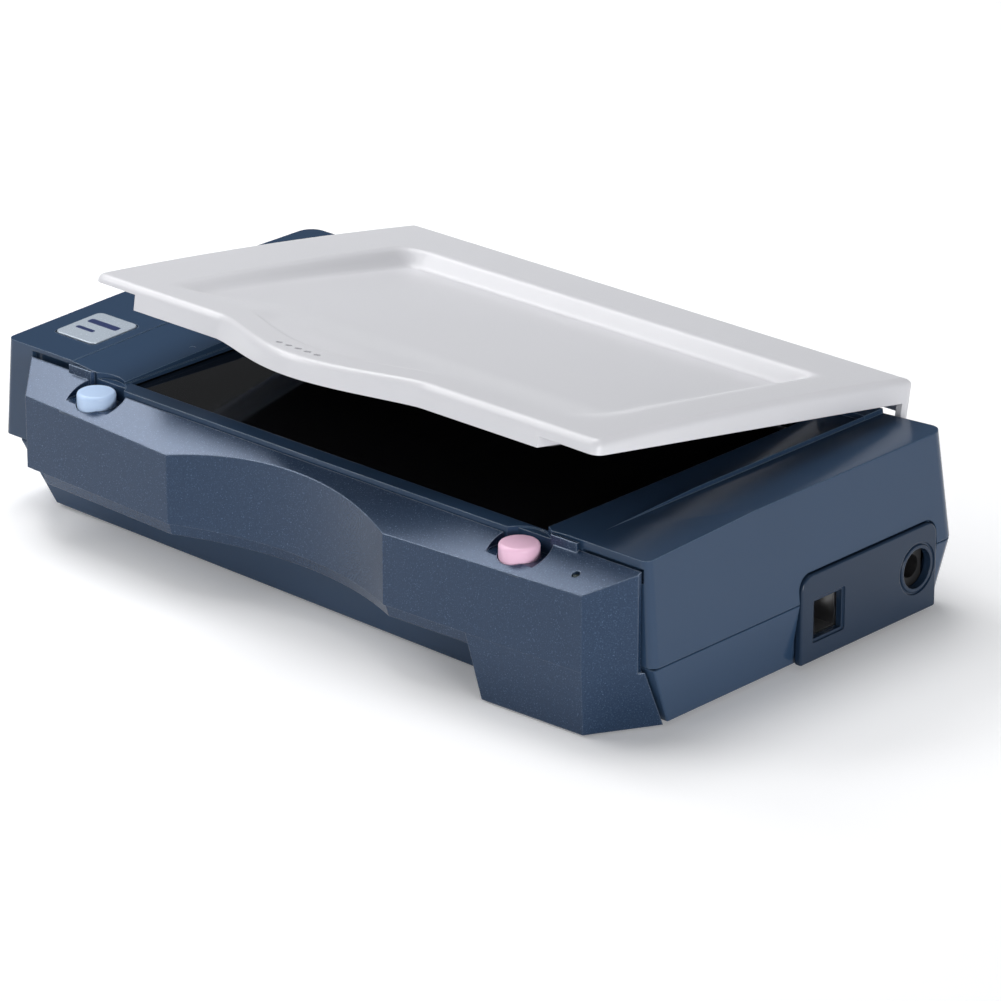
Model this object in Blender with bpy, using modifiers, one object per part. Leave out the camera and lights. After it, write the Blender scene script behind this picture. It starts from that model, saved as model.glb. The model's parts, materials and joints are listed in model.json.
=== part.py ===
"""Small flatbed scanner: two-part housing, sloping front panel with two push buttons,
tray-shaped lid on two rear hinges, and a sensor carriage drawn along a guide rod by a belt.

Metres, +Z up. The origin lies under the middle of the whole object, on the surface it stands on.
+X runs to the right along the front, +Y runs from the front to the rear.
"""
import math

import bmesh
import bpy
from mathutils import Matrix, Vector

MM = 0.001
GAP = 0.3 * MM          # air between two pieces that touch
WALL = 2.2 * MM         # moulded wall thickness
FAR = 200 * MM          # reach of cutters that pass right through

# Driving dimensions of the body
BODY_LENGTH = 250 * MM
BODY_DEPTH = 142.4 * MM
BODY_TOP_Z = 51.5 * MM
FRONT_Y = -73.3 * MM
REAR_Y = FRONT_Y + BODY_DEPTH
SIDE_X = BODY_LENGTH / 2
HOUSING_FRONT_Y = FRONT_Y + 15.7 * MM
PARTING_Z = 19.9 * MM
BASE_Z = 1.2 * MM
SIDE_DRAFT = 2.8 * MM
CORNER_RADIUS = 5 * MM
FRONT_CORNER_RADIUS = 2.5 * MM
TOP_EDGE_RADIUS = 6 * MM
BASE_INSET = 3.1 * MM
BOSS_RADIUS = 4 * MM
BOSS_TOP_Z = 18.2 * MM
SCREW_HEAD_RADIUS = 2.9 * MM
SCREW_SEAT_Z = 4.5 * MM
FOOT_RADIUS = 5 * MM
FOOT_RECESS = 0.8 * MM
SEAT_Z = {"motor": 4.2 * MM, "rod": 12 * MM, "axle": 6 * MM, "board": 4.9 * MM}

# Scanning window, in a bay that is lower than the two end plateaus
BAY_X = (-75.2 * MM, 86.2 * MM)
BAY_Z = 47.5 * MM
BAY_REAR_Y = 58.4 * MM
WINDOW_X = (-74.7 * MM, 85.2 * MM)
WINDOW_Y = (-54.7 * MM, 57.4 * MM)
LEDGE_FRONT_Y = -60.1 * MM
LIP_THICKNESS = 1.1 * MM
GLASS_THICKNESS = 2.2 * MM
GLASS_BORDER = 3.3 * MM
GLASS_TOP_Z = BAY_Z - LIP_THICKNESS - GAP
PLATEAU_EDGE_X = -95 * MM
RIGHT_CREASE_X = 100 * MM
TOP_SLOPE_END_Y = -12 * MM
TOP_FRONT_Z = 49.8 * MM

# Front panel
PANEL_REAR_Y = HOUSING_FRONT_Y - 0.4 * MM
PANEL_CORNER_Y = FRONT_Y + 2.6 * MM
PANEL_FRONT_X = (-101 * MM, 111.2 * MM)
PANEL_REAR_X = (-111.8 * MM, 122 * MM)
PANEL_TOP_FRONT_Z = 40.2 * MM
PANEL_TOP_REAR_Z = 47 * MM
PANEL_CREASE_Z = 19.5 * MM
PANEL_LIP_Z = 15.8 * MM
SCOOP_X = (-41 * MM, 42 * MM)
SCOOP_DEPTH = 8.6 * MM
LEG_FOOT_Z = 0.6 * MM
LEG_LEFT_X = 71 * MM
LEG_REAR_Y = -49.2 * MM

# Buttons
BUTTON_X = {"left": -79 * MM, "right": 82.8 * MM}
BUTTON_Y = -63.6 * MM
BUTTON_RADIUS = 5.6 * MM
BUTTON_TOP_Z = 46.5 * MM
POCKET_RADIUS = 8.4 * MM
POCKET_Z = 43.4 * MM
LIGHT_X = 104.3 * MM
LIGHT_Y = -65.1 * MM
RIB_TOP_Z = 49.2 * MM
BOARD_Z = (29.6 * MM, 31.2 * MM)
SWITCH_TOP_Z = 34.2 * MM

# Lid, drawn closed about its hinge axis and then opened
HINGE_Y = 70.2 * MM
HINGE_Z = 46 * MM
HINGE_AXIS = (HINGE_Y, HINGE_Z)
LID_OPEN_ANGLE = math.radians(10.5)
LID_X = (-85 * MM, 105 * MM)
LID_FRONT = -131.6 * MM
LID_REAR = 3.2 * MM
LID_TOP = 14.05 * MM
LID_CROWN_RADIUS = 1833 * MM
LID_EDGE_FRONT = 5.6 * MM
LID_EDGE_REAR = 7.2 * MM
LID_REAR_RADIUS = 6 * MM
LID_WALL = 2 * MM
TAB_CENTRE_X = 3.5 * MM
TAB_HALF_WIDTH = 39 * MM
TAB_REACH = 11.2 * MM
SKIRT_X = (-68 * MM, 84.6 * MM)
SKIRT_BOTTOM = 2.2 * MM
SKIRT_REAR = -15 * MM
TRAY_X = (-64.5 * MM, 93 * MM)
TRAY_FRONT = -126 * MM
TRAY_REAR = -23.5 * MM
HINGE_X = {"left": -60 * MM, "right": 80 * MM}
PIN_RADIUS = 1.2 * MM
KNUCKLE_RADIUS = 2.9 * MM
BRACKET_HALF = 7 * MM
KNUCKLE_HALF = 3 * MM

# Ports on the right-hand side
PORT_PANEL_Y = (2.2 * MM, 60 * MM)
PORT_PANEL_Z = (1.6 * MM, 27.4 * MM)
PORT_FACE_X = 125.3 * MM
PORT_THICKNESS = 2.4 * MM
PORT_BACK_X = PORT_FACE_X - PORT_THICKNESS - GAP
USB_Y = (7.9 * MM, 19.6 * MM)
USB_Z = (8 * MM, 19 * MM)
JACK_Y = 51.6 * MM
JACK_Z = 15.2 * MM
JACK_AXIS = (JACK_Y, JACK_Z)

# Drive and carriage
ROD_Y = 24 * MM
ROD_Z = 21 * MM
ROD_AXIS = (ROD_Y, ROD_Z)
ROD_RADIUS = 3 * MM
DRIVE_X = -105 * MM
DRIVE_Y = -18.2 * MM
IDLER_X = 108 * MM
GEAR_AXIS = (DRIVE_X, DRIVE_Y)
IDLER_AXIS = (IDLER_X, DRIVE_Y)
PULLEY_RADIUS = 5 * MM
PULLEY_Z = (21.6 * MM, 25.4 * MM)
BELT_THICKNESS = 1 * MM
GEAR_RADIUS = 12 * MM
PINION_RADIUS = 4 * MM
MOTOR_Y = DRIVE_Y + GEAR_RADIUS + PINION_RADIUS + GAP
MOTOR_AXIS = (DRIVE_X, MOTOR_Y)
CARRIAGE_X = (-78 * MM, -49 * MM)
CARRIAGE_Y = (-52 * MM, 56 * MM)
CARRIAGE_Z = (28 * MM, 36 * MM)
SENSOR_Z = (34 * MM, 42.4 * MM)
HOLDER_X = {"left": (-118 * MM, -110 * MM), "right": (98.5 * MM, 103.5 * MM)}

PARTS = bpy.data.collections.new("flatbed_scanner")
CUTTERS = bpy.data.collections.new("cutters")

NAVY = ("navy_plastic", (0.035, 0.062, 0.105), 0.42, 0.0)
PANEL_BLUE = ("panel_plastic", (0.075, 0.105, 0.165), 0.38, 0.25)
LID_GREY = ("lid_plastic", (0.62, 0.63, 0.65), 0.35, 0.0)
LAVENDER = ("lavender_plastic", (0.42, 0.47, 0.74), 0.4, 0.0)
PINK = ("pink_plastic", (0.62, 0.3, 0.4), 0.4, 0.0)
BADGE_SILVER = ("badge_silver", (0.68, 0.76, 0.84), 0.3, 0.3)
GLASS = ("platen_glass", (0.02, 0.02, 0.022), 0.05, 0.0)
BLACK = ("black_plastic", (0.02, 0.02, 0.022), 0.5, 0.0)
WHITE = ("white_plastic", (0.8, 0.8, 0.78), 0.6, 0.0)
FOAM = ("mat_foam", (0.04, 0.04, 0.042), 0.9, 0.0)
RUBBER = ("rubber", (0.03, 0.03, 0.03), 0.85, 0.0)
BRASS = ("brass", (0.62, 0.45, 0.16), 0.3, 1.0)
STEEL = ("steel", (0.6, 0.6, 0.62), 0.3, 1.0)
BOARD = ("circuit_board", (0.02, 0.16, 0.07), 0.5, 0.0)
LIGHT = ("light_pipe", (0.75, 0.85, 0.8), 0.15, 0.0)


def clear_scene():
    for scene_object in list(bpy.data.objects):
        bpy.data.objects.remove(scene_object, do_unlink=True)
    for collection in (PARTS, CUTTERS):
        bpy.context.scene.collection.children.link(collection)


def material(look):
    name, colour, roughness, metallic = look
    made = bpy.data.materials.get(name)
    if made is None:
        made = bpy.data.materials.new(name)
        made.use_nodes = True
        shader = made.node_tree.nodes["Principled BSDF"]
        shader.inputs["Base Color"].default_value = (*colour, 1.0)
        shader.inputs["Roughness"].default_value = roughness
        shader.inputs["Metallic"].default_value = metallic
    return made


def place(name, mesh, location, look):
    """Put a mesh in the scene: a part where it has a look, a cutter where it has none."""
    made = bpy.data.objects.new(name, mesh)
    made.location = location
    if look is None:
        CUTTERS.objects.link(made)
        made.hide_render = True
        made.display_type = "WIRE"
        return made
    PARTS.objects.link(made)
    mesh.shade_smooth()
    mesh.set_sharp_from_angle(angle=math.radians(32))
    mesh.materials.append(material(look))
    return made


def mesh_from(name, shape):
    mesh = bpy.data.meshes.new(name)
    shape.to_mesh(mesh)
    shape.free()
    return mesh


def box(name, xs, ys, zs, look=None):
    size = Vector((xs[1] - xs[0], ys[1] - ys[0], zs[1] - zs[0]))
    middle = Vector((xs[0] + xs[1], ys[0] + ys[1], zs[0] + zs[1])) / 2
    shape = bmesh.new()
    bmesh.ops.create_cube(shape, size=1.0, matrix=Matrix.Diagonal((*size, 1.0)))
    return place(name, mesh_from(name, shape), middle, look)


def around(centre, half):
    return centre - half, centre + half


def slanted_block(name, pivot, xs, ys, zs, rotation, look=None):
    """A box with its sizes measured from a pivot, turned about that pivot."""
    block = box(name, xs, ys, zs, look)
    for vertex in block.data.vertices:
        vertex.co += block.location
    block.location = pivot
    block.rotation_euler = rotation
    return block


def cylinder(name, radius, ends, centre, axis="Z", look=None, segments=24):
    """A round bar; ends are its two positions along the axis, centre its other two coordinates."""
    quarter = math.pi / 2
    turns = {"X": Matrix.Rotation(quarter, 4, "Y"), "Y": Matrix.Rotation(quarter, 4, "X"), "Z": Matrix()}
    middle = (ends[0] + ends[1]) / 2
    location = {
        "X": (middle, centre[0], centre[1]),
        "Y": (centre[0], middle, centre[1]),
        "Z": (centre[0], centre[1], middle),
    }[axis]
    shape = bmesh.new()
    bmesh.ops.create_cone(
        shape, cap_ends=True, segments=segments, radius1=radius, radius2=radius,
        depth=ends[1] - ends[0], matrix=turns[axis],
    )
    return place(name, mesh_from(name, shape), location, look)


def plate(name, outline, zs, look=None):
    """A flat outline of any shape, as thick as zs says."""
    curve = bpy.data.curves.new(name + "_outline", "CURVE")
    curve.dimensions = "2D"
    curve.fill_mode = "BOTH"
    curve.extrude = (zs[1] - zs[0]) / 2
    spline = curve.splines.new("POLY")
    spline.points.add(len(outline) - 1)
    for point, (x, y) in zip(spline.points, outline):
        point.co = (x, y, 0.0, 1.0)
    spline.use_cyclic_u = True
    drawn = bpy.data.objects.new(name + "_outline", curve)
    bpy.context.scene.collection.objects.link(drawn)
    graph = bpy.context.evaluated_depsgraph_get()
    mesh = bpy.data.meshes.new_from_object(drawn.evaluated_get(graph))
    bpy.data.objects.remove(drawn, do_unlink=True)
    mesh.materials.clear()
    shape = bmesh.new()
    shape.from_mesh(mesh)
    bmesh.ops.remove_doubles(shape, verts=shape.verts, dist=1e-6)
    bmesh.ops.recalc_face_normals(shape, faces=shape.faces)
    shape.to_mesh(mesh)
    shape.free()
    return place(name, mesh, (0, 0, (zs[0] + zs[1]) / 2), look)


def loft(name, sections, look=None):
    """A closed body through outlines of equal point count, given as (outline, z), lowest first."""
    shape = bmesh.new()
    rings = [[shape.verts.new((x, y, z)) for x, y in outline] for outline, z in sections]
    for lower, upper in zip(rings, rings[1:]):
        for index in range(len(lower)):
            after = (index + 1) % len(lower)
            shape.faces.new((lower[index], lower[after], upper[after], upper[index]))
    shape.faces.new(list(reversed(rings[0])))
    shape.faces.new(rings[-1])
    bmesh.ops.recalc_face_normals(shape, faces=shape.faces)
    return place(name, mesh_from(name, shape), (0, 0, 0), look)


def boolean(target, other, operation):
    step = target.modifiers.new(operation.lower(), "BOOLEAN")
    step.operation = operation
    step.solver = "EXACT"
    step.object = other
    return target


def cut(target, *cutters):
    for cutter in cutters:
        boolean(target, cutter, "DIFFERENCE")
    return target


def join(target, *additions):
    for addition in additions:
        boolean(target, addition, "UNION")
    return target


def bevel(target, width, segments=2, angle=40):
    step = target.modifiers.new("bevel", "BEVEL")
    step.width = width
    step.segments = segments
    step.limit_method = "ANGLE"
    step.angle_limit = math.radians(angle)
    return target


def bevel_edges(target, width, weight_of, segments=3):
    """Round only some edges: weight_of gives an edge's share of the width from its two ends."""
    mesh = target.data
    weights = mesh.attributes.new("bevel_weight_edge", "FLOAT", "EDGE")
    for edge in mesh.edges:
        first, second = (mesh.vertices[index].co for index in edge.vertices)
        weights.data[edge.index].value = weight_of(first, second)
    step = target.modifiers.new("bevel", "BEVEL")
    step.width = width
    step.segments = segments
    step.limit_method = "WEIGHT"
    return target


def arc(centre, radius, start, end, steps):
    """Points of a circular arc, with the angles in degrees."""
    angles = [math.radians(start + (end - start) * step / steps) for step in range(steps + 1)]
    return [(centre[0] + radius * math.cos(a), centre[1] + radius * math.sin(a)) for a in angles]


def rounded_rectangle(xs, ys, radius, steps=4, low_radius=None):
    """An anticlockwise outline; the two corners at low y may have a radius of their own."""
    low = low_radius or radius
    corners = (
        ((xs[1] - low, ys[0] + low), low, -90),
        ((xs[1] - radius, ys[1] - radius), radius, 0),
        ((xs[0] + radius, ys[1] - radius), radius, 90),
        ((xs[0] + low, ys[0] + low), low, 180),
    )
    return [point for centre, size, start in corners for point in arc(centre, size, start, start + 90, steps)]


def inset(outline, distance):
    """The outline moved inwards by the distance, for an outline that runs anticlockwise."""
    moved = []
    for index, point in enumerate(outline):
        before = Vector(point) - Vector(outline[index - 1])
        after = Vector(outline[(index + 1) % len(outline)]) - Vector(point)
        normals = [Vector((-edge.y, edge.x)).normalized() for edge in (before, after)]
        middle = (normals[0] + normals[1]).normalized()
        moved.append(tuple(Vector(point) + middle * distance / max(middle.dot(normals[0]), 0.3)))
    return moved


# ---------------------------------------------------------------- housing

def housing_outline(shrink_x, front_y, shrink_rear):
    """The case in plan: nearly square front corners and rounder rear ones."""
    right, rear = SIDE_X - shrink_x, REAR_Y - shrink_rear
    small, large = FRONT_CORNER_RADIUS, CORNER_RADIUS
    return (arc((right - small, front_y + small), small, -90, 0, 4)
            + arc((right - large, rear - large), large, 0, 90, 4)
            + arc((-right + large, rear - large), large, 90, 180, 4)
            + arc((-right + small, front_y + small), small, 180, 270, 4))


def top_edge_weight(first, second):
    """Soft right-hand edge, less round rear and left ones, and a crisp front one."""
    if min(first.z, second.z) < BODY_TOP_Z - 0.1 * MM:
        return 0.0
    middle = (first + second) / 2
    if middle.x > SIDE_X - SIDE_DRAFT - 0.5 * MM:
        return 1.0
    if middle.y < HOUSING_FRONT_Y + 0.5 * MM:
        return 0.12
    return 0.45


def top_cutters():
    """Blocks that slope the top: down to the front, and down towards the bay from both ends."""
    roof = BODY_TOP_Z
    above = (0, 20 * MM)
    front_to_rear = (HOUSING_FRONT_Y - 5 * MM, BAY_REAR_Y)
    run = TOP_SLOPE_END_Y - HOUSING_FRONT_Y
    front_slope = slanted_block(
        "front_slope_cutter", (0, TOP_SLOPE_END_Y, roof), (-FAR, FAR), (-2 * run, 0), above,
        (math.atan2(roof - TOP_FRONT_Z, run), 0, 0))
    left_run = BAY_X[0] - PLATEAU_EDGE_X
    left_drop = 1.2 * MM
    left_margin = slanted_block(
        "left_margin_cutter", (PLATEAU_EDGE_X, 0, roof - left_drop), (0, left_run + 5 * MM),
        front_to_rear, above, (0, math.atan2(left_drop, left_run), 0))
    right_run = RIGHT_CREASE_X - BAY_X[1]
    right_drop = 1.4 * MM
    right_margin = slanted_block(
        "right_margin_cutter", (RIGHT_CREASE_X, 0, roof - right_drop), (-right_run - 5 * MM, 0),
        front_to_rear, above, (0, -math.atan2(0.8 * MM, right_run), 0))
    facet_run = SIDE_X - SIDE_DRAFT - RIGHT_CREASE_X
    right_facet = slanted_block(
        "right_facet_cutter", (SIDE_X - SIDE_DRAFT, 0, roof), (-facet_run, 5 * MM),
        (HOUSING_FRONT_Y - 5 * MM, REAR_Y + 5 * MM), above, (0, -math.atan2(right_drop, facet_run), 0))
    return front_slope, left_margin, right_margin, right_facet


def bay_cutters():
    """The bay in the top, the window in its floor, and the groove that holds the glass."""
    ceiling = BAY_Z - LIP_THICKNESS
    bay = box("bay_cutter", BAY_X, (LEDGE_FRONT_Y - 5 * MM, BAY_REAR_Y), (BAY_Z, BODY_TOP_Z + 10 * MM))
    window = box("window_cutter", WINDOW_X, WINDOW_Y, (ceiling - 5 * MM, BODY_TOP_Z))
    xs, ys, zs = glass_size()
    glass_groove = box("glass_groove", (xs[0] - GAP, xs[1] + GAP), (ys[0] - GAP, ys[1] + GAP),
                       (zs[0] - GAP, zs[1] + GAP * 0.7))
    return bay, window, glass_groove


def build_upper_housing():
    housing = loft("upper_housing", [
        (housing_outline(0, HOUSING_FRONT_Y, 0), PARTING_Z + GAP / 2),
        (housing_outline(SIDE_DRAFT, HOUSING_FRONT_Y, SIDE_DRAFT), BODY_TOP_Z),
    ], NAVY)
    bevel_edges(housing, TOP_EDGE_RADIUS, top_edge_weight, segments=4)
    ceiling = BAY_Z - LIP_THICKNESS
    hollow = loft("upper_hollow", [
        (housing_outline(WALL, HOUSING_FRONT_Y + WALL, WALL), PARTING_Z - 5 * MM),
        (housing_outline(WALL + SIDE_DRAFT, HOUSING_FRONT_Y + WALL, WALL + SIDE_DRAFT), ceiling),
    ])
    ledge = box("ledge", BAY_X, (LEDGE_FRONT_Y, HOUSING_FRONT_Y + 1 * MM),
                (POCKET_Z + 0.4 * MM, BAY_Z + 1 * MM))
    cut(housing, hollow)
    join(housing, ledge)
    cut(housing, *top_cutters(), *bay_cutters())
    for side, x in BUTTON_X.items():
        cut(housing, cylinder(f"{side}_housing_pocket", POCKET_RADIUS, (POCKET_Z, BODY_TOP_Z + 5 * MM),
                              (x, BUTTON_Y), segments=32))
    for index, (x, y) in enumerate(screw_places()):
        post = cylinder(f"screw_post_{index}", BOSS_RADIUS, (BOSS_TOP_Z + 0.4 * MM, ceiling + 1 * MM), (x, y),
                        segments=20)
        pilot = cylinder(f"screw_pilot_{index}", 1.7 * MM, (10 * MM, 32 * MM), (x, y), segments=16)
        join(housing, post)
        cut(housing, pilot)
    cut(housing, badge_cutter(), *port_cutters("upper"))


def screw_places():
    return ((-112 * MM, -36 * MM), (113 * MM, -40 * MM), (-114 * MM, 58 * MM), (113 * MM, 36 * MM))


def badge_frame():
    """Middle of the badge on the sloping part of the left plateau, and that slope."""
    run = TOP_SLOPE_END_Y - HOUSING_FRONT_Y
    slope = (BODY_TOP_Z - TOP_FRONT_Z) / run
    y = -36.6 * MM
    return (-107.2 * MM, y, BODY_TOP_Z + (y - TOP_SLOPE_END_Y) * slope), math.atan(slope)


def badge_cutter():
    centre, slope = badge_frame()
    half_x, half_y = 8.6 * MM, 9.5 * MM
    outline = rounded_rectangle((-half_x, half_x), (-half_y, half_y), 2 * MM)
    recess = plate("badge_recess", outline, (0, 3 * MM))
    recess.location = Vector(centre) + Vector((0, 0, 0.9 * MM))
    recess.rotation_euler = (slope, 0, 0)
    return recess


def build_name_badge():
    centre, slope = badge_frame()
    half_x, half_y = 8.2 * MM, 9.1 * MM
    outline = rounded_rectangle((-half_x, half_x), (-half_y, half_y), 1.8 * MM)
    badge = plate("name_badge", outline, (0, 0.7 * MM), BADGE_SILVER)
    badge.location = Vector(centre) + Vector((0, 0, 0.05 * MM))
    badge.rotation_euler = (slope, 0, 0)
    bevel(badge, 0.25 * MM, segments=1, angle=60)


def base_outline(shrink, left_corner, front_y, notch_y):
    """The base in plan: chamfered at the front left, stepped back at the right behind the panel's leg."""
    right = SIDE_X - shrink
    rear = REAR_Y - shrink
    radius = CORNER_RADIUS
    rear_right = arc((right - radius, rear - radius), radius, 0, 90, 4)
    rear_left = arc((-right + radius, rear - radius), radius, 90, 180, 4)
    chamfer = left_corner[0] + right
    front = [(-right, left_corner[1] + chamfer), left_corner, (62 * MM, front_y),
             (LEG_LEFT_X - 1.5 * MM, front_y), (LEG_LEFT_X, notch_y), (right, notch_y)]
    return front + rear_right + rear_left


def base_foot_outline():
    front = HOUSING_FRONT_Y
    return base_outline(BASE_INSET, (-108.3 * MM, front + 4.3 * MM), front + 0.8 * MM, front + 9.4 * MM)


def base_rim_outline():
    front = HOUSING_FRONT_Y
    return base_outline(0, (-SIDE_X + 7 * MM, front), front, front + 0.2 * MM)


def build_lower_housing():
    top_z = PARTING_Z - GAP / 2
    base = loft("lower_housing", [(base_foot_outline(), BASE_Z), (base_rim_outline(), top_z)], NAVY)
    floor = BASE_Z + 2 * MM
    hollow = loft("lower_hollow", [
        (inset(base_foot_outline(), WALL), floor),
        (inset(base_rim_outline(), WALL), top_z + 0.5 * MM),
    ])
    cut(base, hollow)
    for index, (x, y) in enumerate(screw_places()):
        boss = cylinder(f"screw_boss_{index}", BOSS_RADIUS, (BASE_Z + 1 * MM, BOSS_TOP_Z), (x, y),
                        segments=20)
        clearance = cylinder(f"screw_clearance_{index}", 1.9 * MM, (0, 25 * MM), (x, y), segments=16)
        counterbore = cylinder(f"screw_counterbore_{index}", SCREW_HEAD_RADIUS + 0.5 * MM, (0, SCREW_SEAT_Z),
                               (x, y), segments=20)
        join(base, boss)
        cut(base, clearance, counterbore)
    for index, (x, y) in enumerate(foot_places()):
        cut(base, cylinder(f"foot_recess_{index}", FOOT_RADIUS + 0.4 * MM, (0, BASE_Z + FOOT_RECESS), (x, y)))
    rod_ys = around(ROD_Y, 5 * MM)
    axle_ys = around(DRIVE_Y, 3.6 * MM)
    supports = (
        ("motor_seat", around(DRIVE_X, 13 * MM), around(MOTOR_Y, 8 * MM), SEAT_Z["motor"]),
        ("rod_seat_left", HOLDER_X["left"], rod_ys, SEAT_Z["rod"]),
        ("rod_seat_right", HOLDER_X["right"], rod_ys, SEAT_Z["rod"]),
        ("gear_seat", around(DRIVE_X, 3.6 * MM), axle_ys, SEAT_Z["axle"]),
        ("idler_seat", around(IDLER_X, 3.6 * MM), axle_ys, SEAT_Z["axle"]),
        ("board_seat_front", (84 * MM, 96 * MM), (6 * MM, 10 * MM), SEAT_Z["board"]),
        ("board_seat_rear", (84 * MM, 96 * MM), (50 * MM, 54 * MM), SEAT_Z["board"]),
    )
    for name, xs, ys, top in supports:
        join(base, box(name, xs, ys, (BASE_Z + 1 * MM, top)))
    cut(base, *port_cutters("lower"))


def foot_places():
    return ((-98 * MM, -38 * MM), (100 * MM, -34 * MM), (-104 * MM, 46 * MM), (96 * MM, 56 * MM))


def build_feet():
    names = ("foot_front_left", "foot_front_right", "foot_rear_left", "foot_rear_right")
    for name, place_xy in zip(names, foot_places()):
        top = BASE_Z + FOOT_RECESS - GAP
        bevel(cylinder(name, FOOT_RADIUS, (0, top), place_xy, look=RUBBER), 0.4 * MM, segments=1)


def build_housing_screws():
    head_top = SCREW_SEAT_Z - GAP
    for index, (x, y) in enumerate(screw_places()):
        screw = cylinder(f"housing_screw_{index + 1}", SCREW_HEAD_RADIUS, (head_top - 2 * MM, head_top),
                         (x, y), look=STEEL, segments=16)
        shank = cylinder(f"screw_shank_{index}", 1.4 * MM, (head_top - 1 * MM, 20 * MM), (x, y), segments=12)
        slot = box(f"screw_slot_{index}", around(x, 2 * MM), around(y, 0.4 * MM), (0, head_top - 1.2 * MM))
        join(screw, shank)
        cut(screw, slot)


# ---------------------------------------------------------------- front panel

def panel_outline(rear_y=PANEL_REAR_Y):
    """Plan of the front panel: two flats bowed forward, with a round scoop between them."""
    half_chord = (SCOOP_X[1] - SCOOP_X[0]) / 2
    radius = (half_chord ** 2 + SCOOP_DEPTH ** 2) / (2 * SCOOP_DEPTH)
    middle_x = sum(SCOOP_X) / 2
    centre = (middle_x, FRONT_Y + SCOOP_DEPTH - radius)
    half_angle = math.degrees(math.asin(half_chord / radius))
    scoop = arc(centre, radius, 90 + half_angle, 90 - half_angle, 12)
    left = [(PANEL_REAR_X[0], rear_y), (PANEL_FRONT_X[0], PANEL_CORNER_Y)]
    right = [(PANEL_FRONT_X[1], PANEL_CORNER_Y), (PANEL_REAR_X[1], rear_y)]
    return left + scoop + right


def panel_top_cutter(name, drop, back=0.0):
    """A block whose underside is the panel's sloping top, lowered by the drop."""
    run = PANEL_REAR_Y - FRONT_Y
    slope = math.atan2(PANEL_TOP_REAR_Z - PANEL_TOP_FRONT_Z, run)
    return slanted_block(
        name, (0, FRONT_Y, PANEL_TOP_FRONT_Z - drop), (-FAR, FAR), (-10 * MM, 40 * MM + back), (0, 60 * MM),
        (slope, 0, 0))


def leg_outline(front_y, corner, rear_corner, left_x, rear_y):
    return [(left_x, rear_y), (left_x, front_y), corner, rear_corner]


def build_front_panel():
    panel = loft("front_panel", [(panel_outline(), PANEL_CREASE_Z), (panel_outline(), 60 * MM)], PANEL_BLUE)
    lip = loft("panel_lip", [
        (inset(panel_outline(), 1.8 * MM), PANEL_LIP_Z),
        (inset(panel_outline(), 0.5 * MM), PANEL_CREASE_Z + 1 * MM),
    ])
    cut(lip, box("lip_end", (-SIDE_X, PANEL_FRONT_X[0] + 6 * MM), (FRONT_Y, 0), (0, 40 * MM)))
    join(panel, lip)
    inner = inset(panel_outline(PANEL_REAR_Y + 8 * MM), WALL)
    hollow = plate("panel_hollow", inner, (PANEL_LIP_Z + WALL, 60 * MM))
    cut(hollow, panel_top_cutter("panel_ceiling", WALL * 1.1, back=10 * MM))
    cut(panel, panel_top_cutter("panel_top", 0.0), hollow)
    leg = loft("panel_leg", [
        (leg_outline(FRONT_Y + 3.4 * MM, (110.2 * MM, FRONT_Y + 4.6 * MM), (121.2 * MM, LEG_REAR_Y),
                     LEG_LEFT_X + 4 * MM, LEG_REAR_Y), LEG_FOOT_Z),
        (leg_outline(FRONT_Y + 1.2 * MM, (PANEL_FRONT_X[1], PANEL_CORNER_Y),
                     (PANEL_REAR_X[1], PANEL_REAR_Y), LEG_LEFT_X, PANEL_REAR_Y), PANEL_CREASE_Z),
    ])
    leg_hollow = box("leg_hollow", (LEG_LEFT_X + 6 * MM, 107 * MM),
                     (FRONT_Y + 6 * MM, PANEL_REAR_Y - 2.4 * MM), (LEG_FOOT_Z + 2 * MM, PANEL_LIP_Z + 5 * MM))
    join(panel, leg)
    cut(panel, leg_hollow)
    ribs = {"left": (PLATEAU_EDGE_X, BUTTON_X["left"] + 2 * MM), "right": (BAY_X[1] + 0.6 * MM, 99 * MM)}
    for side, xs in ribs.items():
        join(panel, box(f"{side}_rib", xs, (PANEL_REAR_Y - 1.6 * MM, PANEL_REAR_Y - 0.05 * MM),
                        (POCKET_Z + 0.6 * MM, RIB_TOP_Z)))
    for side in BUTTON_X:
        well, pocket, bore = pocket_shapes(side)
        join(panel, well)
        cut(panel, pocket, bore)
    ledge_space = box("ledge_space", (BAY_X[0] - GAP, BAY_X[1] + GAP), (LEDGE_FRONT_Y - GAP, 0),
                      (POCKET_Z + 0.1 * MM, 60 * MM))
    light_hole = cylinder("light_hole", 1.15 * MM, (30 * MM, 60 * MM), (LIGHT_X, LIGHT_Y), segments=16)
    cut(panel, ledge_space, light_hole)


def pocket_shapes(side):
    """The floor under a button's pocket, the pocket itself, and the bore the button slides in."""
    centre = (BUTTON_X[side], BUTTON_Y)
    well = cylinder(f"{side}_well", POCKET_RADIUS + 1.4 * MM, (POCKET_Z - 2 * MM, POCKET_Z + 1.6 * MM),
                    (BUTTON_X[side], BUTTON_Y + 0.2 * MM), segments=32)
    well_back = box(f"{side}_well_back", around(BUTTON_X[side], 20 * MM), (PANEL_REAR_Y, 0), (0, 60 * MM))
    cut(well, panel_top_cutter(f"{side}_well_top", 0.3 * MM), well_back)
    pocket = cylinder(f"{side}_pocket", POCKET_RADIUS, (POCKET_Z, 60 * MM), centre, segments=32)
    bore = cylinder(f"{side}_bore", BUTTON_RADIUS + GAP, (POCKET_Z - 8 * MM, 60 * MM), centre, segments=28)
    return well, pocket, bore


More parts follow.
